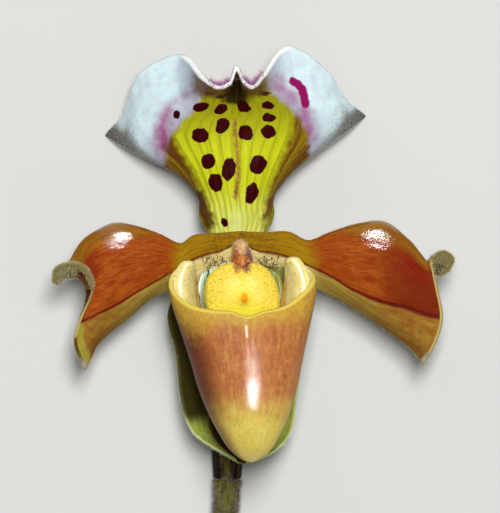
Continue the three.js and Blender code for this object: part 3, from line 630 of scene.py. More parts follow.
# %% Dorsal sepal: its tissue
def dorsal_tissue():
    """Living sepal tissue, matt and downy: white lobes, a yellow fan with maroon spots."""
    material, tree = new_material("Downy sepal tissue, white and yellow")
    bent = calc(tree, "MULTIPLY_ADD", speckle(tree, 9.0, 0.0, 1.0), 0.05, stored(tree, "fan"))
    line = calc(tree, "COSINE", calc(tree, "MULTIPLY", bent, VEINS * 2 * math.pi))
    vein = fit(tree, line, 0.45, 1.0, to_high=0.6)
    faint = both(tree, vein, speckle(tree, 1.2, 0.3, 0.7))
    yellow = layers(
        # darker towards the top: painted shade under the hood
        tree, "#c6cc1c", ("#979212", field_mask(tree, "height", 17.0, 28.0)),
        ("#e6ec78", field_mask(tree, "height", 12.0, 1.0), 0.95),
        ("#a7a416", streaks(tree, 36, 1.5, 0.42, 0.66), 0.45), ("#848c0c", vein, 0.8),
        ("#dfe88a", field_mask(tree, "stripe", 0.0, 0.8, 0.15, 1.0), 0.85),
    )
    brown = layers(tree, "#8f7412", ("#64380c", streaks(tree, 60, 2.0, 0.40, 0.60)), ("#4c280a", faint))
    fan = layers(tree, brown, (yellow, field_mask(tree, "yellow", -1.8, 0.6, 1.1, 1.3)))
    lobe = layers(
        tree, "#d9f1f4", ("#c4d4dc", speckle(tree, 3.5, 0.35, 0.8, 3.0)),
        # lavender grey towards the fan: partly the lobes' own tint, partly painted shade where they curve in
        ("#a5a0b4", field_mask(tree, "core", -5.5, -0.5, 1.5, 3.0), 0.75), ("#c0b2c4", faint, 0.2),
        # painted shade where the left lobe turns back
        ("#848b9c", field_mask(tree, "fold", 0.1, 1.0, 0.2, 2.0), 0.6),
        ("#9c4280", field_mask(tree, "smear", -0.1, 1.2, 0.5, 1.8), 0.9),
    )
    colour = layers(
        tree, lobe, (fan, field_mask(tree, "core", -0.9, 1.1, 1.0, 1.6)),
        ("#96543a", field_mask(tree, "stain", 0.3, 0.9, 0.9, 0.6), 0.75),
        ("#6e3212", field_mask(tree, "stain", 1.0, 1.5, 0.3, 0.6), 0.8),
        ("#8fa03a", field_mask(tree, "shoulder", 0.2, 0.8), 0.9),
        ("#4e2a0a", field_mask(tree, "neck", 0.0, 0.75, 0.5, 1.0), 0.9),
        ("#360004", field_mask(tree, "spot", -0.05, 0.10, 0.36, 1.3)),
        # painted shade under the forward-bent hood
        ("#5e3c1a", field_mask(tree, "hood", 0.05, 0.85, 0.3, 1.2), 0.9),
        # painted shade in the fold below the hood's peak
        ("#1e1202", field_mask(tree, "keel_shade", 0.05, 0.6, 0.3, 0.9), 0.93),
        # grey-brown at the lobe tips: partly their own down, partly painted shade, darkest along the lower
        # margin
        ("#5e5c56", field_mask(tree, "tip", 0.02, 0.7, 0.3, 0.6), 0.85),
        ("#2e2016", field_mask(tree, "tip", 0.55, 1.1, 0.4, 0.5), 0.8),
        ("#8f0f58", field_mask(tree, "stroke", -0.1, 0.3, 0.3, 1.0)),
    )
    back = layers(
        tree, "#a79a78", ("#86486c", field_mask(tree, "core", 2.0, -4.0, 1.0, 2.0), 0.7),
        ("#7b7a3a", vein), ("#a8458c", field_mask(tree, "valley", 0.1, 0.6), 0.8),
    )
    front = field_mask(tree, "front", 0.2, 0.45)
    edge = both(tree, field_mask(tree, "edge", 0.2, 0.9), front, field_mask(tree, "tip", 0.5, 0.1))
    colour = layers(tree, back, (colour, front), ("#f8faf6", edge))
    tissue(tree, colour, 0.6, 0.03, 0.35, speckle(tree, 0.35, 0.2, 0.8), 0.03, glow=0.2, sheen=0.06)
    return material


dorsal.data.materials.append(dorsal_tissue())
print("dorsal sepal's layers:", len(dorsal.data.materials[0].node_tree.nodes), "nodes")

# %% [markdown]
# ## Synsepal
#
# Two sepals grown together stand behind the pouch as a pale green scoop. Only its rim shows from the
# front, with a fringe of white down, so its margin matters most.

# %% Synsepal
SYNSEPAL_NET = [
    [(-2.6, -2.4, -3.9), (-1.3, -2.5, -4.0), (0, -2.5, -4.0), (1.2, -2.5, -4.0), (2.4, -2.4, -3.9)],
    [(-6.0, -4.4, -4.2), (-3.0, -4.6, -4.4), (0, -4.6, -4.5), (2.8, -4.6, -4.4), (5.6, -4.4, -4.2)],
    [(-10.4, -8.0, -5.0), (-5.4, -8.6, -6.2), (0, -8.8, -6.7), (5.2, -8.6, -6.2), (9.6, -8.0, -5.0)],
    [(-14.2, -14.4, -4.6), (-7.4, -15.4, -7.0), (0, -15.8, -7.8), (7.0, -15.4, -7.0), (12.8, -14.4, -4.6)],
    [(-12.6, -23.0, -3.2), (-6.6, -24.0, -6.8), (0, -24.4, -7.8), (6.4, -24.0, -6.8), (12.2, -23.0, -3.2)],
    [(-11.5, -32.4, -2.4), (-6.0, -33.0, -6.0), (0.2, -33.2, -7.0), (6.0, -33.0, -6.0), (11.1, -32.4, -2.4)],
    [(-9.4, -38.4, -1.6), (-5.0, -39.2, -4.4), (0.3, -39.8, -5.2), (5.4, -39.4, -4.4), (9.8, -38.9, -1.6)],
    [(-5.6, -41.4, -1.2), (-2.8, -42.6, -2.4), (0.4, -43.4, -2.9), (4.0, -43.1, -2.4), (7.0, -42.2, -1.0)],
    [(-1.9, -43.4, -1.0), (-0.7, -44.2, -1.1), (0.5, -44.6, -1.1), (1.8, -44.5, -1.0), (3.2, -44.1, -0.9)],
]
# The pouch's shade is painted on it from a height in mm upwards and from a share of its width to another.
SHADE_TOP, SHADE_LEFT, SHADE_RIGHT = (-39.5, -33.5), (0.13, 0.26), (0.55, 0.8)
SYNSEPAL_RIDGES, RIDGE_HIGH = 9, 0.06

synsepal_grid = net_grid(SYNSEPAL_NET, 96, 72)
along, across = shares(*synsepal_grid.shape[:2])
shade = np.maximum(rise(synsepal_grid[..., 1], *SHADE_TOP), rise(across, *SHADE_LEFT))
fields = {
    "inward": np.minimum(np.minimum(across, 1 - across), (1 - along) * 1.2),
    "shade": shade * (1 - rise(across, *SHADE_RIGHT)),
}
ridges = RIDGE_HIGH * np.cos(across * 2 * math.pi * SYNSEPAL_RIDGES)
synsepal = make_piece("synsepal_blade", blade(synsepal_grid, fields, ridges), "synsepal")


def synsepal_tissue():
    """Pale green sepal tissue, browner in its middle, with darker veins and the pouch's shade painted on it.
    """
    material, tree = new_material("Pale green sepal tissue")
    front = field_mask(tree, "front", 0.2, 0.8)
    colour = layers(
        tree, "#a8b448", ("#8a9632", streaks(tree, 24, 2, 0.42, 0.65), 0.7),
        ("#c2cc78", speckle(tree, 1.5, 0.45, 0.8)),
        # browner towards the middle of the scoop: partly its own colour, partly painted shade inside it
        ("#57401a", field_mask(tree, "inward", 0.10, 0.3, 0.05, 2.0), front, 0.8),
        # painted shadow of the pouch over the scoop
        ("#2c1e05", field_mask(tree, "shade", 0.1, 0.9, 0.2, 3.0), front, 0.95),
        ("#c9d396", field_mask(tree, "rim", 0.1, 0.8), field_mask(tree, "shade", 1.0, 0.3)),
    )
    tissue(tree, colour, 0.6, 0.04, 0.3, speckle(tree, 0.5, 0.2, 0.8), 0.04)
    return material


synsepal.data.materials.append(synsepal_tissue())

# %% [markdown]
# ## Petals
#
# Each petal is a long glossy spoon. Its upper half faces forward and its upper margin rolls back, a
# dark midrib runs along it, and its lower half falls away behind. At the apex the margin bends
# forward into a cream line, and the upper corner winds up into a hairy hook.

# %% Petals: their nets
# Each row runs from the lower margin over the midrib (third point) and the upper edge (sixth point)
# to the margin rolled back behind it, which at the apex becomes the hook.
RIGHT_PETAL_NET = [
    [(0.2, -4.5, -2.8), (0.2, -3.3, -1.9), (0.1, -2.0, -1.2), (0.1, -1.0, -0.9), (0.1, 0.1, -0.9),
     (0.1, 1.0, -1.2), (0.1, 1.2, -1.5), (0.1, 1.4, -1.8), (0.1, 1.5, -2.1)],
    [(5.4, -6.6, -3.1), (5.5, -4.6, -1.9), (5.6, -2.3, -0.8), (5.5, -1.1, -0.5), (5.3, 0.1, -0.5),
     (5.0, 0.9, -0.8), (5.0, 1.1, -1.1), (5.0, 1.2, -1.5), (5.0, 1.2, -1.9)],
    [(9.8, -8.0, -3.2), (10.0, -5.9, -1.9), (10.2, -3.4, -0.6), (10.1, -1.9, -0.2), (9.9, -0.3, -0.1),
     (9.6, 0.9, -0.4), (9.6, 1.2, -0.9), (9.6, 1.3, -1.4), (9.6, 1.3, -2.0)],
    [(14.2, -8.9, -3.2), (14.1, -7.1, -1.6), (14.0, -5.0, 0.1), (13.8, -3.5, 0.3), (13.7, -2.0, 0.2),
     (13.6, -0.8, -0.2), (13.6, -0.5, -0.8), (13.6, -0.4, -1.4), (13.6, -0.4, -2.0)],
    [(19.2, -11.3, -3.0), (18.9, -9.6, -0.8), (18.4, -7.1, 0.9), (18.0, -4.4, 1.8), (17.8, -1.6, 2.0),
     (17.8, 0.6, 1.3), (18.0, 1.1, 0.2), (18.2, 0.9, -0.9), (18.5, 0.4, -1.9)],
    [(24.0, -14.1, -3.0), (23.6, -12.4, -0.6), (22.9, -9.9, 1.3), (22.8, -5.8, 2.6), (22.8, -1.4, 3.1),
     (23.0, 2.1, 2.8), (23.4, 2.8, 1.2), (23.9, 2.6, -0.2), (24.4, 1.9, -1.4)],
    [(29.0, -17.5, -2.6), (28.7, -15.4, -0.3), (28.1, -12.1, 1.5), (28.0, -7.0, 2.9), (28.1, -1.6, 3.4),
     (28.4, 2.5, 3.1), (28.8, 3.2, 1.4), (29.3, 3.0, -0.2), (30.0, 2.3, -1.4)],
    [(33.2, -20.6, -1.8), (33.3, -17.6, 0.4), (33.2, -13.4, 2.0), (33.0, -8.6, 3.0), (33.0, -4.0, 3.0),
     (33.2, -0.6, 2.4), (33.7, -0.5, 1.1), (34.0, -1.6, -0.1), (34.4, -3.0, -1.2)],
    [(35.4, -22.7, -0.8), (36.9, -19.2, 1.2), (37.4, -14.9, 2.4), (37.0, -10.2, 2.8), (36.8, -6.9, 2.6),
     (37.3, -4.7, 1.7), (38.3, -5.3, 0.9), (39.2, -6.0, 0.2), (39.9, -6.9, -0.4)],
    [(36.6, -24.8, 0.2), (39.2, -19.7, 2.2), (40.2, -15.4, 3.0), (39.3, -10.2, 3.0), (38.5, -6.6, 2.6),
     (38.2, -4.0, 2.0), (40.5, -2.4, 1.5), (42.5, -3.9, 1.0), (41.6, -6.1, 0.7)],
]
LEFT_PETAL_NET = [
    [(-0.4, -4.4, -2.8), (-0.4, -3.2, -1.9), (-0.3, -1.9, -1.2), (-0.3, -0.9, -0.9), (-0.3, 0.1, -0.9),
     (-0.3, 1.0, -1.2), (-0.3, 1.2, -1.5), (-0.3, 1.4, -1.8), (-0.3, 1.5, -2.1)],
    [(-5.4, -6.8, -3.1), (-5.6, -4.8, -1.9), (-6.0, -2.5, -0.8), (-5.9, -1.4, -0.5), (-5.6, -0.2, -0.5),
     (-5.3, 0.7, -0.8), (-5.2, 0.9, -1.1), (-5.2, 1.0, -1.5), (-5.2, 1.0, -1.9)],
    [(-9.2, -8.4, -3.2), (-9.6, -6.4, -1.9), (-10.0, -4.0, -0.6), (-9.8, -2.5, -0.2), (-9.6, -1.0, -0.1),
     (-9.3, 0.2, -0.4), (-9.2, 0.5, -0.9), (-9.2, 0.6, -1.4), (-9.2, 0.6, -2.0)],
    [(-12.6, -9.4, -3.2), (-12.8, -7.8, -1.6), (-13.0, -5.8, 0.1), (-12.5, -4.2, 0.3), (-12.2, -2.7, 0.2),
     (-11.9, -1.4, -0.2), (-11.8, -1.1, -0.8), (-11.8, -1.0, -1.4), (-11.8, -1.0, -2.0)],
    [(-17.6, -11.3, -3.0), (-17.2, -10.0, -0.8), (-16.6, -7.9, 0.9), (-16.2, -5.0, 1.8), (-16.0, -1.9, 2.0),
     (-16.0, 0.3, 1.3), (-16.2, 0.8, 0.2), (-16.4, 0.6, -0.9), (-16.7, 0.1, -1.9)],
    [(-22.0, -15.0, -3.0), (-21.4, -13.2, -0.6), (-20.6, -10.2, 1.3), (-20.4, -6.0, 2.6), (-20.3, -1.7, 3.1),
     (-20.5, 1.7, 2.8), (-20.9, 2.4, 1.2), (-21.3, 2.2, -0.2), (-21.9, 1.5, -1.4)],
    [(-25.8, -18.1, -2.6), (-25.4, -16.0, -0.3), (-24.6, -12.7, 1.5), (-24.6, -7.8, 2.9), (-24.7, -2.1, 3.5),
     (-25.0, 2.2, 3.1), (-25.4, 2.9, 1.4), (-25.9, 2.7, -0.2), (-26.6, 2.0, -1.4)],
    [(-28.7, -20.8, -1.8), (-28.6, -18.0, 0.4), (-28.2, -14.5, 2.0), (-28.0, -9.6, 3.0), (-29.0, -4.0, 3.3),
     (-31.0, -0.7, 2.3), (-32.2, -1.7, 1.0), (-33.1, -3.3, 0.0), (-34.2, -4.6, -0.9)],
    [(-30.0, -23.6, -0.8), (-31.2, -20.2, 1.2), (-31.2, -16.0, 2.4), (-30.4, -10.8, 2.6), (-31.0, -8.4, 2.4),
     (-32.4, -7.2, 1.8), (-34.0, -7.3, 1.0), (-35.6, -7.5, 0.4), (-36.2, -8.6, 0.0)],
    [(-31.0, -25.8, 0.2), (-32.9, -20.6, 2.2), (-32.0, -16.2, 3.2), (-29.8, -10.8, 3.8), (-29.7, -7.9, 3.9),
     (-31.3, -5.5, 3.6), (-34.0, -4.8, 3.0), (-36.8, -5.9, 2.0), (-37.2, -8.2, 1.4)],
]
MIDRIB = 2 / 8
# Where each petal's crest carries the thickest wax, in mm, and how far that reaches.
CREST = {"left": (-25.0, 1.1), "right": (27.9, 1.0)}
CREST_HALF = (3.9, 3.1)
# Between which shares of the apex margin, from below, the cream line runs, and where the fuzz begins.
CREAM = {"left": (0.16, 0.40), "right": (0.05, 0.62)}
FUZZ_FROM = {"left": 0.42, "right": 0.62}
# The reddest patch: its middle along and across the blade, and how far it reaches.
RED_PATCH = {"left": (0.87, 0.48, 0.15, 0.15), "right": (0.83, 0.48, 0.14, 0.12)}
# The dark line between the halves: half its width as a share of the blade, wider over the narrow claw.
RIB_HALF = {"left": 0.014, "right": 0.021}
RIB_FOOT_HALF = 0.036
# Close to the column that line climbs: how far across, and over which share of the blade.
LINE_LIFT, LIFT_REACH = 0.24, 0.08
HOOK_PIT = {"left": (-33.9, -6.9), "right": (39.8, -5.4)}     # the painted shade in the hollow of each hook's curl
PIT_HALF = (1.7, 1.3)
BLOOM_X = 0.4     # the middle of the bloom, from which the bristles start on both sides
PETAL_RIBS, PETAL_RIB_HIGH = 22, 0.014
DENT_WIDE, DENT_HIGH = 1.3, 0.012
CLAW_REACH = 0.2     # how far each claw reaches into the other, so that the seam between them is closed


def petal_fields(grid, side):
    along, across = shares(*grid.shape[:2])
    x, y = grid[..., 0], grid[..., 1]
    (crest_x, crest_y), (pit_x, pit_y) = CREST[side], HOOK_PIT[side]
    cream, fuzz, patch = CREAM[side], FUZZ_FROM[side], RED_PATCH[side]
    from_middle = np.abs(x - BLOOM_X)
    line = MIDRIB + LINE_LIFT * np.clip(1 - along / LIFT_REACH, 0, 1) ** 1.5
    rib_half = RIB_FOOT_HALF + (RIB_HALF[side] - RIB_FOOT_HALF) * rise(along, 0.12, 0.35)
    return {
        "along": along,
        "across": across,
        "lower": rise(across - line, 0.012, -0.012),
        "rib": 1 - np.abs(across - line) / rib_half,
        "wax": 1.2 - np.hypot((x - crest_x) / CREST_HALF[0], (y - crest_y) / CREST_HALF[1]),
        "gold_edge": band(across, 0.48, 0.62, 0.85, 0.95) * (0.3 + 0.7 * rise(along, 0.42, 0.6)),
        "apex": rise(along, 0.90, 0.985),
        "cream": rise(along, 0.985, 0.997)
        * band(across, cream[0] - 0.03, cream[0] + 0.03, cream[1] - 0.05, cream[1] + 0.05),
        "hook": rise(along, 0.86, 0.96) * rise(across, 0.60, 0.72),
        "fuzz": np.maximum(
            rise(along, 0.86, 0.94) * rise(across, 0.60, 0.70),
            rise(along, 0.965, 0.99) * rise(across, fuzz - 0.04, fuzz + 0.04),
        ),
        "pit_shade": (1 - np.hypot((x - pit_x) / PIT_HALF[0], (y - pit_y) / PIT_HALF[1]))
        * rise(across, 0.6, 0.7),
        "inner_tip": (side == "left") * rise(along, 0.84, 0.94) * (1 - rise(across, 0.20, 0.27)),
        "outer_tip": (side == "left") * rise(along, 0.976, 0.988) * (1 - rise(across, 0.14, 0.20)),
        "tip": 1 - np.hypot((1 - along) / 0.06, across / 0.10),
        "red_patch": 1 - np.hypot((along - patch[0]) / patch[2], (across - patch[1]) / patch[3]),
        "deep": (side == "right") * rise(along, 0.48, 0.98) * (1 - rise(across, 0.56, 0.74)),
        "well_shade": (side == "right") * band(x, 3.6, 4.6, 9.5, 11.0) * rise(-y, 4.4, 6.2),
        "base_hairs": band(from_middle, 2.8, 3.8, 7.0, 8.2) * band(-y, 2.4, 3.2, 5.2, 6.0),
        "crest_hairs": band(across, 0.62, 0.68, 0.78, 0.84) * (1 - rise(along, 0.8, 0.9)),
        "crown_hairs": band(across, 0.26, 0.32, 0.6, 0.7) * (1 - rise(along, 0.08, 0.17)),
    }


petals = {}
for side, net in (("left", LEFT_PETAL_NET), ("right", RIGHT_PETAL_NET)):
    grid = net_grid(net, 132, 112)
    outwards = np.sign(net[-1][0][0])
    grid[..., 0] -= outwards * CLAW_REACH * (1 - rise(shares(*grid.shape[:2])[0], 0, 0.05))
    fields = petal_fields(grid, side)
    ribs = PETAL_RIB_HIGH * np.cos(fields["across"] * 2 * math.pi * PETAL_RIBS)
    dents = DENT_HIGH * ripples(grid[..., 0], grid[..., 1], DENT_WIDE, 5)
    relief = ribs + dents * rise(fields["along"], 0.1, 0.4)
    petals[side] = make_piece(f"petal_{side}_blade", blade(grid, fields, relief), f"petal_{side}")

# %% Petals: their tissue
def petal_tissue():
    """Petal tissue under a thick wax: red-brown over gold, with fine darker fibres."""
    material, tree = new_material("Waxed petal tissue, red-brown on gold")
    fibre = streaks(tree, 110, 12.0, 0.42, 0.62)
    broad = streaks(tree, 28, 5.0, 0.35, 0.65)
    red = layers(
        tree, "#9d4410", ("#b06018", broad, 0.5), ("#b8702a", speckle(tree, 1.1, 0.45, 0.7, 3.0), 0.3),
        ("#641404", field_mask(tree, "deep", 0.0, 0.8, 0.3, 3.0), 0.85),
        ("#7c1608", field_mask(tree, "red_patch", -0.1, 0.8, 0.35, 2.5), 0.85), ("#7e2a0a", fibre, 0.7),
    )
    edge = layers(tree, "#8c5c14", ("#69400e", fibre, 0.5), ("#a07820", broad, 0.5))
    gold = layers(tree, "#94680a", ("#6c4806", fibre, 0.5), ("#a6860e", broad, 0.6))
    upper = layers(
        tree, red, (edge, field_mask(tree, "gold_edge", 0.2, 1.0, 0.3, 2.0), 0.85),
        (gold, field_mask(tree, "along", 0.42, 0.30, 0.05, 4.0)),
    )
    tan = layers(
        tree, "#966c26", ("#7c4c1c", fibre, 0.4), ("#ac8c36", broad, 0.6),
        ("#8a4820", speckle(tree, 1.4, 0.42, 0.62, 4.0), 0.6),
        ("#6c4a1c", field_mask(tree, "across", 0.10, 0.02, 0.05, 2.0), 0.7),
    )
    near = layers(tree, "#a88a38", ("#8a6428", fibre, 0.5), ("#c0aa4c", broad, 0.6))
    pale = layers(tree, "#ead894", ("#cdb868", fibre, 0.7))
    lower = layers(
        tree, tan, (near, field_mask(tree, "along", 0.80, 0.40, 0.08, 3.0)),
        (pale, field_mask(tree, "along", 0.42, 0.28, 0.05, 3.0), 0.95),
        # painted shade at the right petal's foot, beside the pouch's dark mouth
        ("#7c8040", field_mask(tree, "well_shade", 0.1, 0.9, 0.2, 1.5), 0.85),
        ("#a8a03c", field_mask(tree, "inner_tip", 0.2, 0.9, 0.5, 1.5), 0.75),
        ("#3c100c", field_mask(tree, "outer_tip", 0.2, 0.9, 0.3, 1.0), 0.85),
    )
    fuzz = field_mask(tree, "fuzz", 0.2, 0.9)
    colour = layers(
        tree, upper, (lower, field_mask(tree, "lower", 0.2, 0.8)),
        ("#5e0a0c", field_mask(tree, "rib", 0.0, 0.8, 0.3, 1.5), 0.88), ("#84783c", fuzz, 0.85),
        ("#b8a668", field_mask(tree, "cream", 0.2, 0.8)),
        ("#a09a8c", field_mask(tree, "tip", 0.2, 0.8, 0.3, 0.5)),
    )
    back = layers(
        tree, "#7a6224", ("#5c2a1a", broad, 0.8), ("#4a1418", field_mask(tree, "rib", -0.2, 0.8)),
        ("#45100e", field_mask(tree, "apex", 0.1, 0.7)), ("#84783c", fuzz, 0.9),
    )
    edging = layers(tree, "#aa9c5a", ("#a89c58", field_mask(tree, "hook", 0.1, 0.6)))
    colour = layers(
        tree, back, (colour, field_mask(tree, "front", 0.3, 0.6)),
        (edging, field_mask(tree, "rim", 0.5, 0.95), field_mask(tree, "along", 0.01, 0.04)),
        # painted shade in the hollow of each hook's curl
        ("#2c1618", field_mask(tree, "pit_shade", 0.0, 0.7, 0.4, 0.6), 0.85),
    )
    pits = calc(tree, "MULTIPLY_ADD", fibre, 0.35, speckle(tree, 0.28, 0.25, 0.75, 3.0))
    wax = field_mask(tree, "wax", 0.2, 0.5, 0.5, 0.4)
    tissue(tree, colour, 0.55, wax, 0.12, pits, 0.045, glow=0.06, coat_bump=0.45, sheen=0.05)
    return material


waxed = petal_tissue()
for side, petal in petals.items():
    petal.data.materials.append(waxed)
print("both petals share", waxed.name)

# %% [markdown]
# ## Pouch
#
# The lip is blown into a slipper. Level sections give its width and depth at each height, and a rim
# curve tells where it ends: low in front, over an ear at each side, down into a notch and up the
# claw behind. Running each rail from its own rim point to the toe keeps the mesh square to the rim.

# %% Pouch: its shape
# Height, centre across, half width, front and back, in mm from the heart.
POUCH_SECTIONS = [
    (-2.6, 0.5, 10.8, 13.4, -0.3), (-5.5, 0.5, 13.6, 14.9, -0.7), (-8.6, 0.5, 14.7, 16.0, -0.8),
    (-12.6, 0.6, 14.2, 17.2, -0.6), (-19.2, 1.0, 12.4, 19.4, 0.4), (-24.4, 1.3, 11.0, 20.8, 2.0),
    (-29.2, 1.5, 9.8, 21.8, 4.0), (-34.4, 1.8, 8.0, 22.0, 6.8), (-38.6, 1.95, 5.9, 20.9, 9.4),
    (-41.4, 2.05, 4.1, 19.4, 11.4), (-43.0, 2.1, 2.4, 17.8, 13.2), (-43.7, 2.1, 1.2, 16.6, 14.4),
    (-43.9, 2.1, 0.0, 15.5, 15.5),
]
POUCH_YAW = 0.09     # it faces a little aside: so many mm across for each mm forward
# Angle from the front centre in degrees, right positive, and the height of the rim there.
POUCH_RIM = [
    (-180, -3.6), (-171, -4.3), (-163, -5.2), (-155, -6.0), (-149, -6.7), (-146, -7.4), (-144.5, -9.2),
    (-143.6, -11.6), (-143, -13.8), (-142, -12.0), (-140.5, -9.2), (-138, -7.0), (-134, -5.5),
    (-127, -4.5), (-117, -4.8), (-104, -6.2), (-91, -8.0),
    (-78, -10.1), (-62, -12.0), (-46, -13.4), (-30, -14.1), (-13, -14.4), (0, -15.3), (13, -14.3),
    (30, -13.5), (43, -12.1), (56, -10.2), (69, -8.6), (83, -7.3), (98, -6.0), (111, -4.5), (125, -3.7),
    (134, -4.5), (138, -6.4), (140.5, -9.2), (142, -12.0), (143, -13.8), (143.6, -11.6), (144.5, -9.2),
    (146, -7.4), (149, -6.7), (155, -6.0), (163, -5.2), (171, -4.3), (180, -3.6),
]
# Each ear bulges forward around an angle, by so many mm, from one height up to another.
EAR = {"angle": 128, "spread": 14, "lift": 3.0, "foot": -20, "top": -10}
POUCH_WALL = 0.9
POUCH_ROWS = 84
RIM_STEPS = 6
FINE = 1200     # steps along the sections, from which the rails are read
LIP = {"middle": 2.4, "side": 7.0}     # how far down from the rim the yellow reaches
# The pale line down the front: its middle and half width in degrees, and in mm the stretch where a painted
# highlight lies on it.
MIDLINE_ANGLE, MIDLINE_HALF = -2.0, 2.2
GLINT = (-19.6, -18.6, -17.4, -16.6)


def pouch_shell():
    sections = np.array(POUCH_SECTIONS)
    shape = smooth(sections[:, [0, 1, 2]], FINE)
    depth = smooth(sections[:, [0, 3, 4]], FINE)
    angle, height = smooth(POUCH_RIM, (len(POUCH_RIM) - 1) * RIM_STEPS)[:-1].T
    at = np.linspace(0, 1, FINE + 1)
    start = np.interp(-height, -shape[:, 0], at)
    down = (np.arange(POUCH_ROWS) / POUCH_ROWS)[:, None]
    station = start + (1 - start) * down
    y, centre, width = (np.interp(station, at, shape[:, k]) for k in range(3))
    front, back = (np.interp(station, at, depth[:, k]) for k in (1, 2))
    turn, off_front = np.radians(angle), np.abs(angle)
    ear = np.exp(-(((off_front - EAR["angle"]) / EAR["spread"]) ** 2))
    z = (front + back) / 2 + (front - back) / 2 * np.cos(turn)
    z += EAR["lift"] * ear * rise(y, EAR["foot"], EAR["top"])
    x = centre + POUCH_YAW * (z - (front + back) / 2) + width * np.sin(turn)
    outer = np.stack([x, y, z], -1)
    out = grid_normals(outer, closed=True)
    out *= np.sign((out * (outer - outer.mean(1, keepdims=True))).sum(-1).mean())
    inner = outer - out * POUCH_WALL
    lip = (outer[0] + inner[0]) / 2 + unit(outer[0] - outer[1]) * POUCH_WALL / 2
    toe = sections[-1, [1, 0, 3]]
    toes = [toe, toe + [0, POUCH_WALL, 0]]
    index = np.arange(station.size).reshape(station.shape)
    quads, size, around = hoops(index), index.size, len(angle)
    faces = np.concatenate([quads, quads[:, ::-1] + size, rounded_rim(index[0], size)]).tolist()
    faces += fan(index[-1], 2 * size + around)
    faces += fan(index[-1] + size, 2 * size + around + 1, turned=True)
    spread = lambda field, tip: np.concatenate([field.ravel(), field.ravel(), field[0], [tip, tip]])
    full = lambda field: np.broadcast_to(field, y.shape)
    from_rim = np.cumsum(np.linalg.norm(np.diff(outer, axis=0), axis=-1), 0)
    from_rim = np.concatenate([np.zeros((1, around)), from_rim])
    lip_depth = LIP["middle"] + (LIP["side"] - LIP["middle"]) * rise(off_front, 15, 75)
    return {
        "points": np.concatenate([outer.reshape(-1, 3), inner.reshape(-1, 3), lip, toes]),
        "faces": faces,
        "fields": {
            "height": spread(y, toe[1]),
            "turn": spread(full(angle), 0.0),
            "lip": spread(1 - from_rim / lip_depth, -9.0),
            "claw": spread(full(rise(off_front, 143.0, 143.8)), 0.0),
            "ear_edge": spread(full(rise(off_front, 134, 141)), 0.0),
            "facing": spread(full(1 - rise(off_front, 20, 52)), 1.0),
            "midline": spread(full(1 - np.abs(angle - MIDLINE_ANGLE) / MIDLINE_HALF), 0.0),
            "glint": spread(band(y, *GLINT), 0.0),
            "outside": np.concatenate([np.ones(size), np.zeros(size), np.full(around, 0.6), [1, 0]]),
        },
        "uv": np.stack([spread(full(angle / 360 + 0.5), 0.5), spread(full(down), 1.0)], -1),
    }


pouch = make_piece("pouch_shell", pouch_shell(), "pouch")

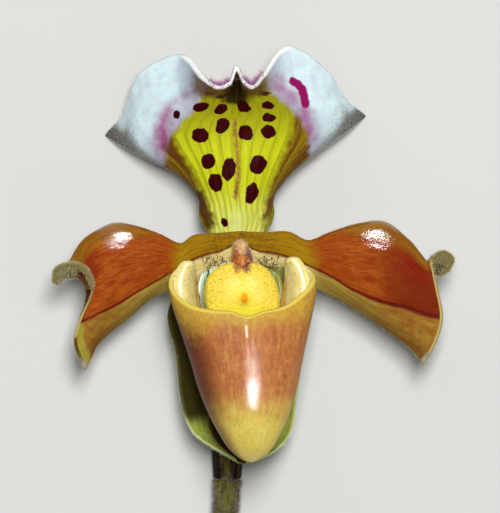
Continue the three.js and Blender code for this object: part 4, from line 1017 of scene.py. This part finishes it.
# %% Pouch: its tissue
def pouch_tissue():
    """The waxed slipper: salmon over yellow, with reddish fibres and dots, yellow inside."""
    material, tree = new_material("Waxed pouch tissue, salmon on yellow")
    fibre = streaks(tree, 190, 16, 0.50, 0.70)
    dots = speckle(tree, 0.5, 0.56, 0.68, 3.0)
    # the dark red-brown left flank: partly its own colour, partly painted shade on the side away from the
    # light
    left = both(tree, field_mask(tree, "turn", -28.0, -72.0, 8.0, 5.0), 0.96)
    lip = field_mask(tree, "lip", -0.7, 0.9, 0.6, 1.3)
    toe = layers(tree, "#dcc65c", ("#b89e36", fibre, 0.5))
    body = layers(
        tree, "#bc7440", ("#a85e34", streaks(tree, 40, 4, 0.4, 0.65), 0.8),
        ("#c89a4c", streaks(tree, 70, 9, 0.52, 0.7), 0.6), ("#8c3e22", fibre, 0.6),
        ("#d09858", speckle(tree, 1.2, 0.5, 0.75, 3.0), 0.5), ("#662a0e", left),
        ("#b07638", field_mask(tree, "turn", 40.0, 85.0, 8.0, 5.0), 0.5),
        ("#94782c", field_mask(tree, "turn", -100.0, -130.0)),
        (toe, field_mask(tree, "height", -28.5, -38.0, 3.2, 2.6)), ("#662a0e", left, 0.75),
        ("#cda63c", lip, 0.95), ("#b08038", lip, speckle(tree, 1.0, 0.45, 0.7, 3.0), 0.7),
        ("#8a4a22", dots, 0.3), ("#ecd860", field_mask(tree, "lip", 0.82, 0.95), 0.75),
        ("#deb084", field_mask(tree, "midline", 0.1, 0.9), field_mask(tree, "height", -28.0, -20.0), 0.35),
        # a painted highlight on a small crease of the pale line
        ("#f4dcc0", field_mask(tree, "midline", 0.3, 0.7), field_mask(tree, "glint", 0.1, 0.5)),
    )
    near_ear = field_mask(tree, "ear_edge", 0.2, 0.9, 0.2, 1.0)
    freckles = both(tree, speckle(tree, 0.5, 0.50, 0.62, 3.0), near_ear)
    left_claw = layers(tree, "#d4ebd6", ("#2f4a1c", streaks(tree, 110, 1.2, 0.48, 0.58)))
    # the right claw wall as a darker copy of the striped tissue: painted shade deep in the pouch's mouth
    shaded_right_claw = layers(tree, "#8a9248", ("#d6e6c8", streaks(tree, 110, 1.2, 0.56, 0.66), 0.7))
    claw = layers(tree, left_claw, (shaded_right_claw, field_mask(tree, "turn", -1.0, 1.0)))
    colour = layers(
        tree, "#e8d47c", ("#f2e6a4", speckle(tree, 2.0, 0.3, 0.8)), ("#a0782a", dots, 0.5),
        ("#cfa03c", field_mask(tree, "ear_edge", 0.1, 0.8, 0.2, 1.0), 0.85), ("#b4702a", freckles, 0.8),
        (claw, field_mask(tree, "claw", 0.2, 0.8)), (body, field_mask(tree, "outside", 0.4, 0.7)),
    )
    pits = calc(tree, "MULTIPLY_ADD", fibre, 0.3, speckle(tree, 0.3, 0.25, 0.75, 3.0))
    outside = stored(tree, "outside")
    gloss = fit(tree, outside, 0.0, 1.0, 0.26, 0.12)
    flank = calc(tree, "SUBTRACT", outside, stored(tree, "facing"))
    tissue(tree, colour, 0.55, fit(tree, flank, 0.0, 1.0, 1.0, 0.12), gloss, pits, 0.035, coat_bump=0.6)
    return material


pouch.data.materials.append(pouch_tissue())
print("pouch:", pouch.data.materials[0].name)

# %% [markdown]
# ## Staminode, column, anthers and stigma
#
# The yellow shield is a sterile stamen. It is domed, granular like orange peel, and has one orange
# wart. Behind it the column carries two anthers and the stigma, which an insect meets on its way out.

# %% Staminode
SHIELD_OUTLINE = [
    (0.5, -5.6), (2.3, -4.5), (4.8, -5.3), (6.9, -7.8), (7.8, -11.0), (7.7, -13.6), (5.0, -15.0),
    (1.4, -15.7), (-2.4, -15.1), (-5.6, -14.6), (-7.2, -12.4), (-7.0, -8.6), (-4.9, -5.7), (-1.4, -4.5),
]
SHIELD_CENTRE = np.array([0.5, -10.4])
SHIELD_BACK = 7.7     # how far in front of the heart its flat back lies
SHIELD_EDGE = 0.8
SHIELD_DOME = 1.7
UMBO = {"x": 0.9, "y": -11.6, "radius": 1.1, "height": 0.9}
WART_WIDE, WART_HIGH = 0.72, 1.15     # the orange wart on the umbo, half sizes
GRANULE, GRAIN_HIGH = 0.42, 0.03
# Tufts at its upper edge: place, half width and half height.
SHIELD_TUFTS = {"left_tuft": (-0.7, -5.2, 0.8, 1.7), "right_tuft": (1.5, -5.4, 0.8, 1.8)}


def umbo(x, y):
    """The round bump in the shield's middle: 1 at its top."""
    return np.exp(-((x - UMBO["x"]) ** 2 + (y - UMBO["y"]) ** 2) / UMBO["radius"] ** 2)


def shield_shell(around=168, rings=52):
    outline = smooth(SHIELD_OUTLINE + SHIELD_OUTLINE[:1], around)[:-1]
    share = (np.arange(1, rings + 1) / rings)[:, None, None]
    flat = SHIELD_CENTRE + (outline - SHIELD_CENTRE) * share
    x, y, r = flat[..., 0], flat[..., 1], np.broadcast_to(share[..., 0], flat.shape[:2])
    bump = umbo(x, y)
    grains = GRAIN_HIGH * ripples(x, y, GRANULE, 21) * rise(1 - r, 0.0, 0.06) * (1 - bump)
    rounding = SHIELD_EDGE * 0.45 * rise(r, 0.93, 1.0)
    front = SHIELD_BACK + SHIELD_EDGE + SHIELD_DOME * (1 - r**3) + UMBO["height"] * bump + grains - rounding
    middle = SHIELD_BACK + SHIELD_EDGE + SHIELD_DOME + UMBO["height"] * umbo(*SHIELD_CENTRE)
    points = [np.stack([x, y, z], -1).reshape(-1, 3) for z in (front, np.full(x.shape, SHIELD_BACK))]
    points.append([[*SHIELD_CENTRE, middle], [*SHIELD_CENTRE, SHIELD_BACK]])
    index = np.arange(rings * around).reshape(rings, around)
    size, ahead = index.size, np.roll(index[-1], -1)
    quads = hoops(index)[:, [0, 3, 2, 1]]
    side = np.stack([index[-1], index[-1] + size, ahead + size, ahead], -1)
    faces = np.concatenate([quads, quads[:, ::-1] + size, side]).tolist()
    faces += fan(index[0], 2 * size) + fan(index[0] + size, 2 * size + 1, turned=True)
    twice = lambda field, value: np.concatenate([field.ravel(), field.ravel(), [value, value]])
    wart = 1 - np.hypot((x - UMBO["x"]) / WART_WIDE, (y - UMBO["y"]) / WART_HIGH)
    crest = rise(y, -7.6, -5.4) * (1 - rise(np.abs(x - SHIELD_CENTRE[0]), 1.4, 2.4))
    fields = {
        "share": twice(r, 0.0), "wart": twice(wart, 0.0), "crest": twice(crest, 0.0),
        "across": twice(x, SHIELD_CENTRE[0]), "height": twice(y, SHIELD_CENTRE[1]),
    }
    for name, (tuft_x, tuft_y, wide, high) in SHIELD_TUFTS.items():
        fields[name] = twice(1 - np.hypot((x - tuft_x) / wide, (y - tuft_y) / high), 0.0)
    return {"points": np.concatenate(points), "faces": faces, "fields": fields}


def shield_tissue():
    """Granular yellow tissue with green dots towards its margin and an orange wart."""
    material, tree = new_material("Granular yellow shield tissue")
    place = add(tree, "ShaderNodeTexCoord").outputs["Object"]
    cells = add(tree, "ShaderNodeTexVoronoi", {"Vector": place, "Scale": 1 / (GRANULE * MM)})
    from_cell = cells.outputs["Distance"]
    outer = both(
        tree, field_mask(tree, "share", 0.25, 0.85, 0.3, 1.2), field_mask(tree, "height", -14.6, -12.6)
    )
    seam = both(tree, fit(tree, from_cell, 0.40, 0.75), outer)
    colour = layers(
        tree, "#f4d852", ("#f6dc4a", field_mask(tree, "share", 0.6, 0.1), 0.8),
        ("#fbf044", field_mask(tree, "height", -12.0, -14.0), 0.85), ("#e4c234", seam, 0.85),
        ("#a89838", seam, speckle(tree, 0.6, 0.40, 0.60), 0.45),
        # painted shade along the shield's left edge
        ("#b0a848", field_mask(tree, "across", -6.2, -6.8), 0.85),
        ("#c98a5a", field_mask(tree, "crest", 0.3, 1.0, 0.3, 0.8), 0.6),
        ("#f3b210", field_mask(tree, "wart", -0.15, 0.15)), ("#f09a02", field_mask(tree, "wart", 0.25, 0.6)),
    )
    tissue(tree, colour, 0.5, 0.2, 0.3, calc(tree, "SUBTRACT", 1.0, from_cell), 0.09, glow=0.2)
    return material


staminode = make_piece("staminode_shield", shield_shell(), "staminode")
staminode.data.materials.append(shield_tissue())

# %% Tubes: column, ovary and stem share one way of being made
def spokes(tangent, turn):
    """The directions at each turn around a line with those tangents."""
    side = unit(np.cross([1.0, 0, 0], tangent))
    up = np.cross(tangent, side)
    return side[:, None] * np.cos(turn)[..., None] + up[:, None] * np.sin(turn)[..., None]


def tube(path, radius_at, steps, sides):
    """A round body of changing radius along a smooth path, closed at both ends."""
    line = smooth(path, steps)
    turns = 2 * math.pi * np.arange(sides) / sides
    along, turn = np.meshgrid(np.linspace(0, 1, steps + 1), turns, indexing="ij")
    radius = radius_at(along, turn)[..., None]
    rings = line[:, None] + radius * spokes(unit(np.gradient(line, axis=0)), turn)
    whole = lambda field, first, last: np.concatenate([field.ravel(), [first, last]])
    return {
        "points": np.concatenate([rings.reshape(-1, 3), [line[0], line[-1]]]),
        "faces": capped(np.arange(turn.size).reshape(turn.shape)),
        "fields": {"along": whole(along, 0, 1), "cut": whole(np.zeros(along.shape), 0, 1)},
        "uv": np.stack([whole(turn / (2 * math.pi), 0.5, 0.5), whole(along, 0, 1)], -1),
    }


print("a tube closes with", len(capped(np.arange(12).reshape(3, 4))), "faces on three rings of four points")

# %% Column
COLUMN_END = SHIELD_BACK - 0.3
COLUMN_PATH = [
    (0.0, -0.9, 0.0), (0.2, -1.8, 2.0), (0.4, -4.0, 4.4), (0.5, -5.0, COLUMN_END - 1),
    (0.5, -5.1, COLUMN_END),
]
COLUMN_HEAD, COLUMN_WIDEST = 1.1, 2.0     # its radius at the pointed head, and under the shield


def column_radius(along, turn):
    return COLUMN_HEAD + (COLUMN_WIDEST - COLUMN_HEAD) * along**0.7


def column_tissue():
    """Column tissue: pale and flushed with pink at its hairy head, rusty towards the shield."""
    material, tree = new_material("Flushed column tissue")
    rust = layers(tree, "#d48e44", ("#ac5426", speckle(tree, 0.6, 0.42, 0.62, 3.0), 0.8))
    colour = layers(
        tree, "#ecc48c", ("#cc7a4c", speckle(tree, 0.7, 0.45, 0.65, 3.0), 0.7),
        (rust, field_mask(tree, "along", 0.45, 0.8, 0.2, 1.0)),
    )
    tissue(tree, colour, 0.5, 0.1, 0.3, speckle(tree, 0.3, 0.2, 0.8), 0.08)
    return material


column = make_piece("column_body", tube(COLUMN_PATH, column_radius, 40, 40), "column")
column.data.materials.append(column_tissue())

# %% Anthers and stigma
GROOVE_HALF = 0.22     # of the groove down an anther, as a share of its half width


def organ(name, node, groove, roll, steps=36):
    """A smooth body that fills its solid's box, with a groove or a ripple over it."""
    lo, hi = (np.array(c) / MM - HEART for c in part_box(node))
    centre, radii = (lo + hi) / 2, (hi - lo) / 2
    lat, lon = np.linspace(0, math.pi, steps + 1)[1:-1], np.linspace(0, 2 * math.pi, 2 * steps + 1)[:-1]
    lat, lon = np.meshgrid(lat, lon, indexing="ij")
    ball = np.stack([np.sin(lat) * np.cos(lon), np.cos(lat), np.sin(lat) * np.sin(lon)], -1)
    dent = 1 - groove * np.exp(-((ball[..., 0] / GROOVE_HALF) ** 2))
    dent = dent + roll * ripples(ball[..., 0], ball[..., 1], 0.5, 9)
    rings = centre + ball * radii * np.clip(dent, 0.5, 1.0)[..., None]
    points = np.concatenate([rings.reshape(-1, 3), centre + [[0, radii[1], 0], [0, -radii[1], 0]]])
    faces = capped(np.arange(lat.size).reshape(lat.shape))
    return make_piece(name, {"points": points, "faces": faces, "fields": {}}, node)


def flesh(name, base, dark, light, rough):
    """Plain living tissue with a soft mottle, for the small inner organs."""
    material, tree = new_material(name)
    mottle, flecks = speckle(tree, 1.2, 0.4, 0.7), speckle(tree, 0.4, 0.6, 0.8)
    colour = layers(tree, base, (dark, mottle, 0.7), (light, flecks))
    tissue(tree, colour, rough, 0.2, 0.25, speckle(tree, 0.3, 0.2, 0.8), 0.05)
    return material


pollen = flesh("Sticky yellow pollen", "#dca93a", "#a86a1c", "#f0cf6a", 0.3)
for side in ("left", "right"):
    anther = organ(f"anther_{side}_lobes", f"anther_{side}", 0.25, 0.03)
    anther.data.materials.append(pollen)
stigma = organ("stigma_pad", "stigma", 0.0, 0.04)
stigma.data.materials.append(flesh("Moist stigma tissue", "#e3ddb0", "#bdbf7a", "#f4f0d6", 0.25))

# %% [markdown]
# ## Ovary, bract and stem
#
# Behind the flower runs the ovary, ribbed and downy, and a brown bract clasps its foot at the node,
# where the hairy stem begins. Ovary and stem are round bodies along a path, made as the column is,
# and the bract is a blade wrapped round the ovary's path.

# %% Ovary
NODE = (-2.6, -48.8, -12.2)
OVARY_PATH = [
    (-0.4, -0.9, -5.3), (-0.5, -1.6, -7.6), (-0.8, -4.8, -10.2), (-1.3, -12.0, -11.4),
    (-1.9, -25.0, -12.0), (-2.4, -38.0, -12.0), NODE,
]
OVARY_RADIUS = 2.2
OVARY_RIBS = 6
RIB_SHARE = 0.07
OVARY_BELLY = 0.1     # how much thicker its middle is than its ends
OVARY_TAPER = 0.26     # how much thinner it gets towards the node
TAPER_FROM = 0.75     # from there on


def ovary_swell(along):
    return 1 + OVARY_BELLY * np.sin(math.pi * along) - OVARY_TAPER * rise(along, TAPER_FROM, 1)


def ovary_radius(along, turn):
    return OVARY_RADIUS * ovary_swell(along) * (1 + RIB_SHARE * np.cos(OVARY_RIBS * turn))


def stalk_tissue(name, base, dark, light, cut):
    """Downy stalk tissue with long fibres, paler where it was cut."""
    material, tree = new_material(name)
    fibre = streaks(tree, 22, 8, 0.42, 0.62)
    colour = layers(
        tree, base, (dark, fibre), (light, speckle(tree, 1.4, 0.5, 0.75), 0.7),
        (cut, field_mask(tree, "cut", 0.15, 0.5)),
    )
    tissue(tree, colour, 0.55, 0.1, 0.3, fibre, 0.08)
    return material


ovary = make_piece("ovary_body", tube(OVARY_PATH, ovary_radius, 140, 72), "ovary")
ovary.data.materials.append(stalk_tissue("Downy ovary tissue", "#5c5424", "#3c2018", "#78783a", "#9aa860"))

# %% Bract
BRACT_FOOT = 0.985     # where it springs, as a share of the ovary's path
BRACT_LENGTH_SHARE = 0.42     # how much of that path it covers
BRACT_WRAP = 2.5     # how far it reaches round to each side, in radians
BRACT_CLEAR = 0.4     # from the ovary's ribs
BRACT_FLARE = 0.35     # how much further its middle stands off
BRACT_THICK = 0.65
BRACT_NARROWING = 0.985     # how far its sides close in towards its tip
BRACT_POINT = 2.2     # how late they do so: a higher power is a blunter tip
BRACT_FOLDS, FOLD_HIGH = 14, 0.05


def read_along(rows, at):
    """The rows at those shares of their length."""
    known = np.linspace(0, 1, len(rows))
    return np.stack([np.interp(at, known, rows[:, k]) for k in range(3)], -1)


def bract_grid(rows=60, columns=64):
    share = np.linspace(0, 1, rows + 1)
    at = BRACT_FOOT - BRACT_LENGTH_SHARE * share
    fine = smooth(OVARY_PATH, 600)
    reach = OVARY_RADIUS * ovary_swell(at) * (1 + RIB_SHARE) + BRACT_CLEAR + BRACT_THICK / 2
    reach = reach + BRACT_FLARE * np.sin(math.pi * share)
    wrap = BRACT_WRAP * np.sqrt(1 - BRACT_NARROWING * share**BRACT_POINT)
    turn = wrap[:, None] * np.linspace(-1, 1, columns + 1)
    tangent = unit(read_along(np.gradient(fine, axis=0), at))
    return read_along(fine, at)[:, None] + reach[:, None, None] * spokes(tangent, turn)


def bract_tissue():
    """Dry brown sheath with long fibres and a paler papery margin."""
    material, tree = new_material("Papery brown bract")
    fibre = streaks(tree, 40, 3, 0.4, 0.62)
    colour = layers(
        # near-black brown: partly its own colour, partly painted shade behind the bloom
        tree, "#1f1205", ("#150a03", fibre), ("#4c3a0c", streaks(tree, 9, 1.0, 0.52, 0.7), 0.8),
        ("#4c3e1c", field_mask(tree, "rim", 0.3, 0.9), field_mask(tree, "free", 0.2, 0.8)),
    )
    tissue(tree, colour, 0.65, 0.03, 0.3, fibre, 0.08, glow=0.05)
    return material


grid = bract_grid()
along, across = shares(*grid.shape[:2])
fields = {"free": rise(along, 0.03, 0.15)}
folds = FOLD_HIGH * np.cos(across * 2 * math.pi * BRACT_FOLDS)
bract = make_piece("bract_sheath", blade(grid, fields, folds, BRACT_THICK), "bract")
bract.data.materials.append(bract_tissue())

# %% Stem
STEM_RADIUS = 2.45
NODE_SWELL, NODE_REACH = 0.1, 0.1     # how much thicker it is at the node, and over which share of it
STEM_RIDGES, RIDGE_TWIST, RIDGE_SHARE = 5, 3, 0.03
SEAM_RISE = 0.35     # how far its soft end reaches up into the foot of the bract, to close the seam
STEM_PATH = [
    (NODE[0], NODE[1] + SEAM_RISE, NODE[2]), (-3.0, -56.0, -12.7), (-4.0, -75.0, -13.2),
    (-4.6, -95.0, -13.55), (-4.4, -115.4, -13.69),
]


def stem_radius(along, turn):
    swell = NODE_SWELL * rise(NODE_REACH - along, 0, NODE_REACH)
    ridge = np.cos(STEM_RIDGES * turn + RIDGE_TWIST * along)
    return STEM_RADIUS * (1 + swell) * (1 - RIDGE_SHARE * ridge)


stem = make_piece("stem_stalk", tube(STEM_PATH, stem_radius, 150, 48), "stem")
stem.data.materials.append(stalk_tissue("Hairy green stem", "#66661e", "#4a4412", "#7f7e30", "#b9bf7a"))

# %% [markdown]
# ## Down, cilia and bristles
#
# Slipper orchids are hairy nearly everywhere. A hair is a thin cone, three-sided because it is seen
# at less than a pixel. Geometry Nodes scatter points over a surface, thick where a stored field is
# high, stand a cone on each, lean and turn it at random, and make the lot real. One tree with named
# inputs does this for every kind of hair.

# %% The tree that grows hairs
HAIR_INPUTS = {
    "Geometry": "Geometry", "Field": "String", "Per mm2": "Float", "Length mm": "Float",
    "Thickness mm": "Float", "Bend": "Float", "Lean": "Float", "Segments": "Int", "Seed": "Int",
    "Material": "Material",
}
SHORTEST, LONGEST = 0.55, 1.15     # as shares of the length that is asked for


def hair_tree():
    tree = bpy.data.node_groups.new("Hairs on a surface", "GeometryNodeTree")
    for name, kind in HAIR_INPUTS.items():
        tree.interface.new_socket(name, in_out="INPUT", socket_type="NodeSocket" + kind)
    tree.interface.new_socket("Geometry", in_out="OUTPUT", socket_type="NodeSocketGeometry")
    given = tree.nodes.new("NodeGroupInput").outputs
    seed = given["Seed"]
    thick = add(tree, "GeometryNodeInputNamedAttribute", {"Name": given["Field"]}, data_type="FLOAT")
    per_m2 = calc(tree, "MULTIPLY", given["Per mm2"], 1 / MM**2)
    density = calc(tree, "MULTIPLY", per_m2, thick.outputs["Attribute"])
    scatter = add(
        tree, "GeometryNodeDistributePointsOnFaces",
        {"Mesh": given["Geometry"], "Density": density, "Seed": seed},
    )
    length = calc(tree, "MULTIPLY", given["Length mm"], MM)
    foot = calc(tree, "MULTIPLY", given["Thickness mm"], MM / 2)
    cone = add(
        tree, "GeometryNodeMeshCone",
        {"Vertices": 3, "Side Segments": given["Segments"], "Radius Top": 0.0, "Radius Bottom": foot,
         "Depth": length},
        fill_type="NGON",
    )
    place = add(tree, "GeometryNodeInputPosition")
    up = add(tree, "ShaderNodeSeparateXYZ", {0: place.outputs[0]}).outputs["Z"]
    share = calc(tree, "DIVIDE", up, length)
    marked = add(
        tree, "GeometryNodeStoreNamedAttribute",
        {"Geometry": cone.outputs["Mesh"], "Name": "tip", "Value": share},
        data_type="FLOAT", domain="POINT",
    )
    curl = calc(tree, "MULTIPLY", calc(tree, "POWER", share, 2.0), length)
    offset = add(tree, "ShaderNodeCombineXYZ", {"X": calc(tree, "MULTIPLY", curl, given["Bend"])})
    bent = add(tree, "GeometryNodeSetPosition", {"Geometry": marked.outputs[0], "Offset": offset.outputs[0]})
    most, least = given["Lean"], calc(tree, "MULTIPLY", given["Lean"], -1.0)
    low = add(tree, "ShaderNodeCombineXYZ", {"X": least, "Y": least, "Z": 0.0})
    high = add(tree, "ShaderNodeCombineXYZ", {"X": most, "Y": most, "Z": 2 * math.pi})
    spin = add(
        tree, "FunctionNodeRandomValue", {0: low.outputs[0], 1: high.outputs[0], "Seed": seed},
        data_type="FLOAT_VECTOR",
    )
    turned = add(
        tree, "FunctionNodeRotateRotation",
        {"Rotation": scatter.outputs["Rotation"], "Rotate By": spin.outputs[0]},
        rotation_space="LOCAL",
    )
    size = add(tree, "FunctionNodeRandomValue", {2: SHORTEST, 3: LONGEST, "Seed": seed}, data_type="FLOAT")
    planted = add(
        tree, "GeometryNodeInstanceOnPoints",
        {"Points": scatter.outputs["Points"], "Instance": bent.outputs[0], "Rotation": turned.outputs[0],
         "Scale": size.outputs[1]},
    )
    real = add(tree, "GeometryNodeRealizeInstances", {"Geometry": planted.outputs[0]}).outputs[0]
    coated = add(tree, "GeometryNodeSetMaterial", {"Geometry": real, "Material": given["Material"]})
    add(tree, "NodeGroupOutput", {"Geometry": coated.outputs[0]})
    return tree


HAIRS = hair_tree()
IDENTIFIER = {s.name: s.identifier for s in HAIRS.interface.items_tree if s.in_out == "INPUT"}


def hair_material(name, root, tip):
    """Clear living hairs, coloured by sap at the root and paler at the tip."""
    material, tree = new_material(name)
    ramp = add(tree, "ShaderNodeValToRGB", {"Fac": stored(tree, "tip")}, stops=((0.0, root), (1.0, tip)))
    looks = {"Base Color": ramp.outputs["Color"], "Roughness": 0.4, "IOR": 1.45}
    fibre = add(tree, "ShaderNodeBsdfPrincipled", looks)
    add(tree, "ShaderNodeOutputMaterial", {"Surface": fibre.outputs["BSDF"]})
    return material


def grow(name, piece, slot, material, **wanted):
    """Hairs on a piece as one plain mesh. Inputs are given by their names in the tree."""
    tool = put(name + "_tool", piece.data)
    modifier = tool.modifiers.new("hairs", "NODES")
    modifier.node_group = HAIRS
    for label, value in {"Material": material, "Segments": 1, "Bend": 0.0, **wanted}.items():
        modifier[IDENTIFIER[label.replace("_", " ")]] = value
    graph = bpy.context.evaluated_depsgraph_get()
    mesh = bpy.data.meshes.new_from_object(tool.evaluated_get(graph))
    bpy.data.objects.remove(tool)
    mesh.name = name
    hairs = put(name, mesh)
    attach(hairs, "root")
    print(f"{name}: {len(mesh.polygons)} faces")
    return hairs


# %% [markdown]
# ### Where the hairs grow
#
# White cilia edge the sepals. The petals' claws have dark bristles and their hooks an olive fuzz. The
# column's head carries a cream tuft and, towards the shield, a rusty and a plum one. The stem's long
# down is mauve at its root and pale at its tip. No hair has its root down by the floor.

# %% Hair fields
FLOOR_CLEAR = (0.4, 1.4)     # hairs set in between these heights above the floor, in mm
TUFTS = {"left": -0.75, "right": 1.65}     # where the two reddish tufts stand, in mm right of the heart
TUFT_HALF = 0.7


def read(piece, name):
    values = np.zeros(len(piece.data.vertices), np.float32)
    piece.data.attributes[name].data.foreach_get("value", values)
    return values


def places(piece):
    """Where the piece's points are, in mm."""
    values = np.zeros(len(piece.data.vertices) * 3, np.float32)
    piece.data.vertices.foreach_get("co", values)
    return values.reshape(-1, 3) * 1000


def off_floor(piece, limits=FLOOR_CLEAR):
    return rise(places(piece)[:, 2], *limits)


store(dorsal, "rim_hair", read(dorsal, "rim") * off_floor(dorsal))
store(dorsal, "tip_hair", read(dorsal, "tip") * off_floor(dorsal, (0.3, 1.0)))
store(dorsal, "valley_hair", read(dorsal, "valley") * (1 - read(dorsal, "front")))
lit = 1 - 0.9 * read(synsepal, "shade")
store(synsepal, "rim_hair", read(synsepal, "rim") * off_floor(synsepal) * lit)
for sepal in (dorsal, synsepal):
    store(sepal, "back_hair", (1 - read(sepal, "front")) * off_floor(sepal))
for petal in petals.values():
    free = rise(read(petal, "along"), 0.02, 0.05) * off_floor(petal)
    store(petal, "rim_hair", read(petal, "rim") * (1 - read(petal, "hook")) * free)
store(bract, "rim_hair", read(bract, "rim") * off_floor(bract) * read(bract, "free"))
for stalk in (stem, ovary):
    store(stalk, "down", off_floor(stalk))
for side, at in TUFTS.items():
    beside = (places(column)[:, 0] - HEART[0] - at) / TUFT_HALF
    store(column, side, np.exp(-(beside**2)) * rise(read(column, "along"), 0.2, 0.5))
store(column, "peak", rise(read(column, "along"), 0.6, 0.1))

# %% Kinds of hair
white_down = hair_material("White down", "#cfd2cf", "#f4f6f6")
pink_down = hair_material("Pink down", "#8e3a78", "#d9a6cc")
pale_cilia = hair_material("Pale cilia", "#a8945a", "#ece2c0")
grey_fuzz = hair_material("Grey-brown fuzz", "#5e5040", "#ecebe6")
olive_fuzz = hair_material("Olive fuzz", "#6e6230", "#ece4ba")
cream_tuft = hair_material("Cream tuft", "#c8a868", "#f4ead0")
maroon_bristle = hair_material("Maroon bristles", "#34100a", "#64281c")
rust_tuft = hair_material("Rust tuft", "#963c18", "#d88a44")
plum_tuft = hair_material("Plum tuft", "#6a2c34", "#b0707a")
mauve_down = hair_material("Mauve stem down", "#5c4650", "#cfc2ca")

# %% Growing them
grow("dorsal_sepal_cilia", dorsal, "dorsal_sepal", white_down, Field="rim_hair",
     Per_mm2=30.0, Length_mm=0.6, Thickness_mm=0.08, Lean=0.6, Seed=1)
grow("dorsal_sepal_back_down", dorsal, "dorsal_sepal", mauve_down, Field="back_hair",
     Per_mm2=2.2, Length_mm=0.55, Thickness_mm=0.06, Lean=0.6, Seed=2)
grow("dorsal_sepal_valley_down", dorsal, "dorsal_sepal", pink_down, Field="valley_hair",
     Per_mm2=80.0, Length_mm=1.4, Thickness_mm=0.09, Lean=0.7, Bend=0.2, Segments=2, Seed=6)
grow("dorsal_sepal_tip_fuzz", dorsal, "dorsal_sepal", grey_fuzz, Field="tip_hair",
     Per_mm2=26.0, Length_mm=0.4, Thickness_mm=0.07, Lean=0.6, Seed=3)
grow("synsepal_cilia", synsepal, "synsepal", white_down, Field="rim_hair",
     Per_mm2=26.0, Length_mm=0.55, Thickness_mm=0.08, Lean=0.6, Seed=4)
grow("synsepal_back_down", synsepal, "synsepal", white_down, Field="back_hair",
     Per_mm2=3.0, Length_mm=0.5, Thickness_mm=0.06, Lean=0.6, Seed=5)
for side, petal in petals.items():
    seed = 10 if side == "left" else 20
    grow(f"petal_{side}_cilia", petal, "petal", pale_cilia, Field="rim_hair",
         Per_mm2=34.0, Length_mm=0.5, Thickness_mm=0.07, Lean=0.6, Seed=seed)
    grow(f"petal_{side}_hook_fuzz", petal, "petal", olive_fuzz, Field="fuzz",
         Per_mm2=52.0, Length_mm=0.7, Thickness_mm=0.09, Lean=0.6, Segments=2, Seed=seed + 1)
    grow(f"petal_{side}_crest_down", petal, "petal", pale_cilia, Field="crest_hairs",
         Per_mm2=12.0, Length_mm=0.3, Thickness_mm=0.05, Lean=0.5, Seed=seed + 4)
    grow(f"petal_{side}_bristles", petal, "petal", maroon_bristle, Field="base_hairs",
         Per_mm2=5.4, Length_mm=1.6, Thickness_mm=0.15, Lean=0.9, Bend=1.0, Segments=3, Seed=seed + 2)
    grow(f"petal_{side}_crown_hairs", petal, "petal", maroon_bristle, Field="crown_hairs",
         Per_mm2=10.0, Length_mm=0.75, Thickness_mm=0.08, Lean=0.9, Bend=0.5, Segments=3, Seed=seed + 3)
for side, tuft, seed in (("left", rust_tuft, 30), ("right", plum_tuft, 31)):
    grow(f"column_{side}_tuft", column, "column", tuft, Field=side,
         Per_mm2=26.0, Length_mm=0.9, Thickness_mm=0.1, Lean=0.8, Bend=0.6, Segments=3, Seed=seed)
    grow(f"staminode_{side}_tuft", staminode, "staminode", tuft, Field=f"{side}_tuft",
         Per_mm2=46.0, Length_mm=0.8, Thickness_mm=0.1, Lean=0.8, Bend=0.6, Segments=3, Seed=seed + 10)
grow("column_peak_tuft", column, "column", cream_tuft, Field="peak",
     Per_mm2=11.0, Length_mm=0.5, Thickness_mm=0.09, Lean=0.9, Bend=0.4, Segments=3, Seed=46)
grow("stem_down", stem, "stem", mauve_down, Field="down",
     Per_mm2=11.0, Length_mm=1.0, Thickness_mm=0.09, Lean=0.5, Bend=0.2, Segments=2, Seed=32)
grow("ovary_down", ovary, "ovary", mauve_down, Field="down",
     Per_mm2=6.0, Length_mm=0.6, Thickness_mm=0.06, Lean=0.5, Seed=33)
grow("bract_down", bract, "bract", grey_fuzz, Field="rim_hair",
     Per_mm2=14.0, Length_mm=0.5, Thickness_mm=0.06, Lean=0.5, Seed=34)

# %% [markdown]
# ## Sizes, and the end
#
# The dressed bloom must still be as big as its solids, so how far its box differs from theirs is printed.

# %% Sizes, and the end
bpy.context.view_layer.update()
dressed_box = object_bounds()
grown = [[round(1000 * (b - a), 2) for a, b in zip(*pair)] for pair in zip(cad_box, dressed_box)]
print("grown by, in mm:", grown)
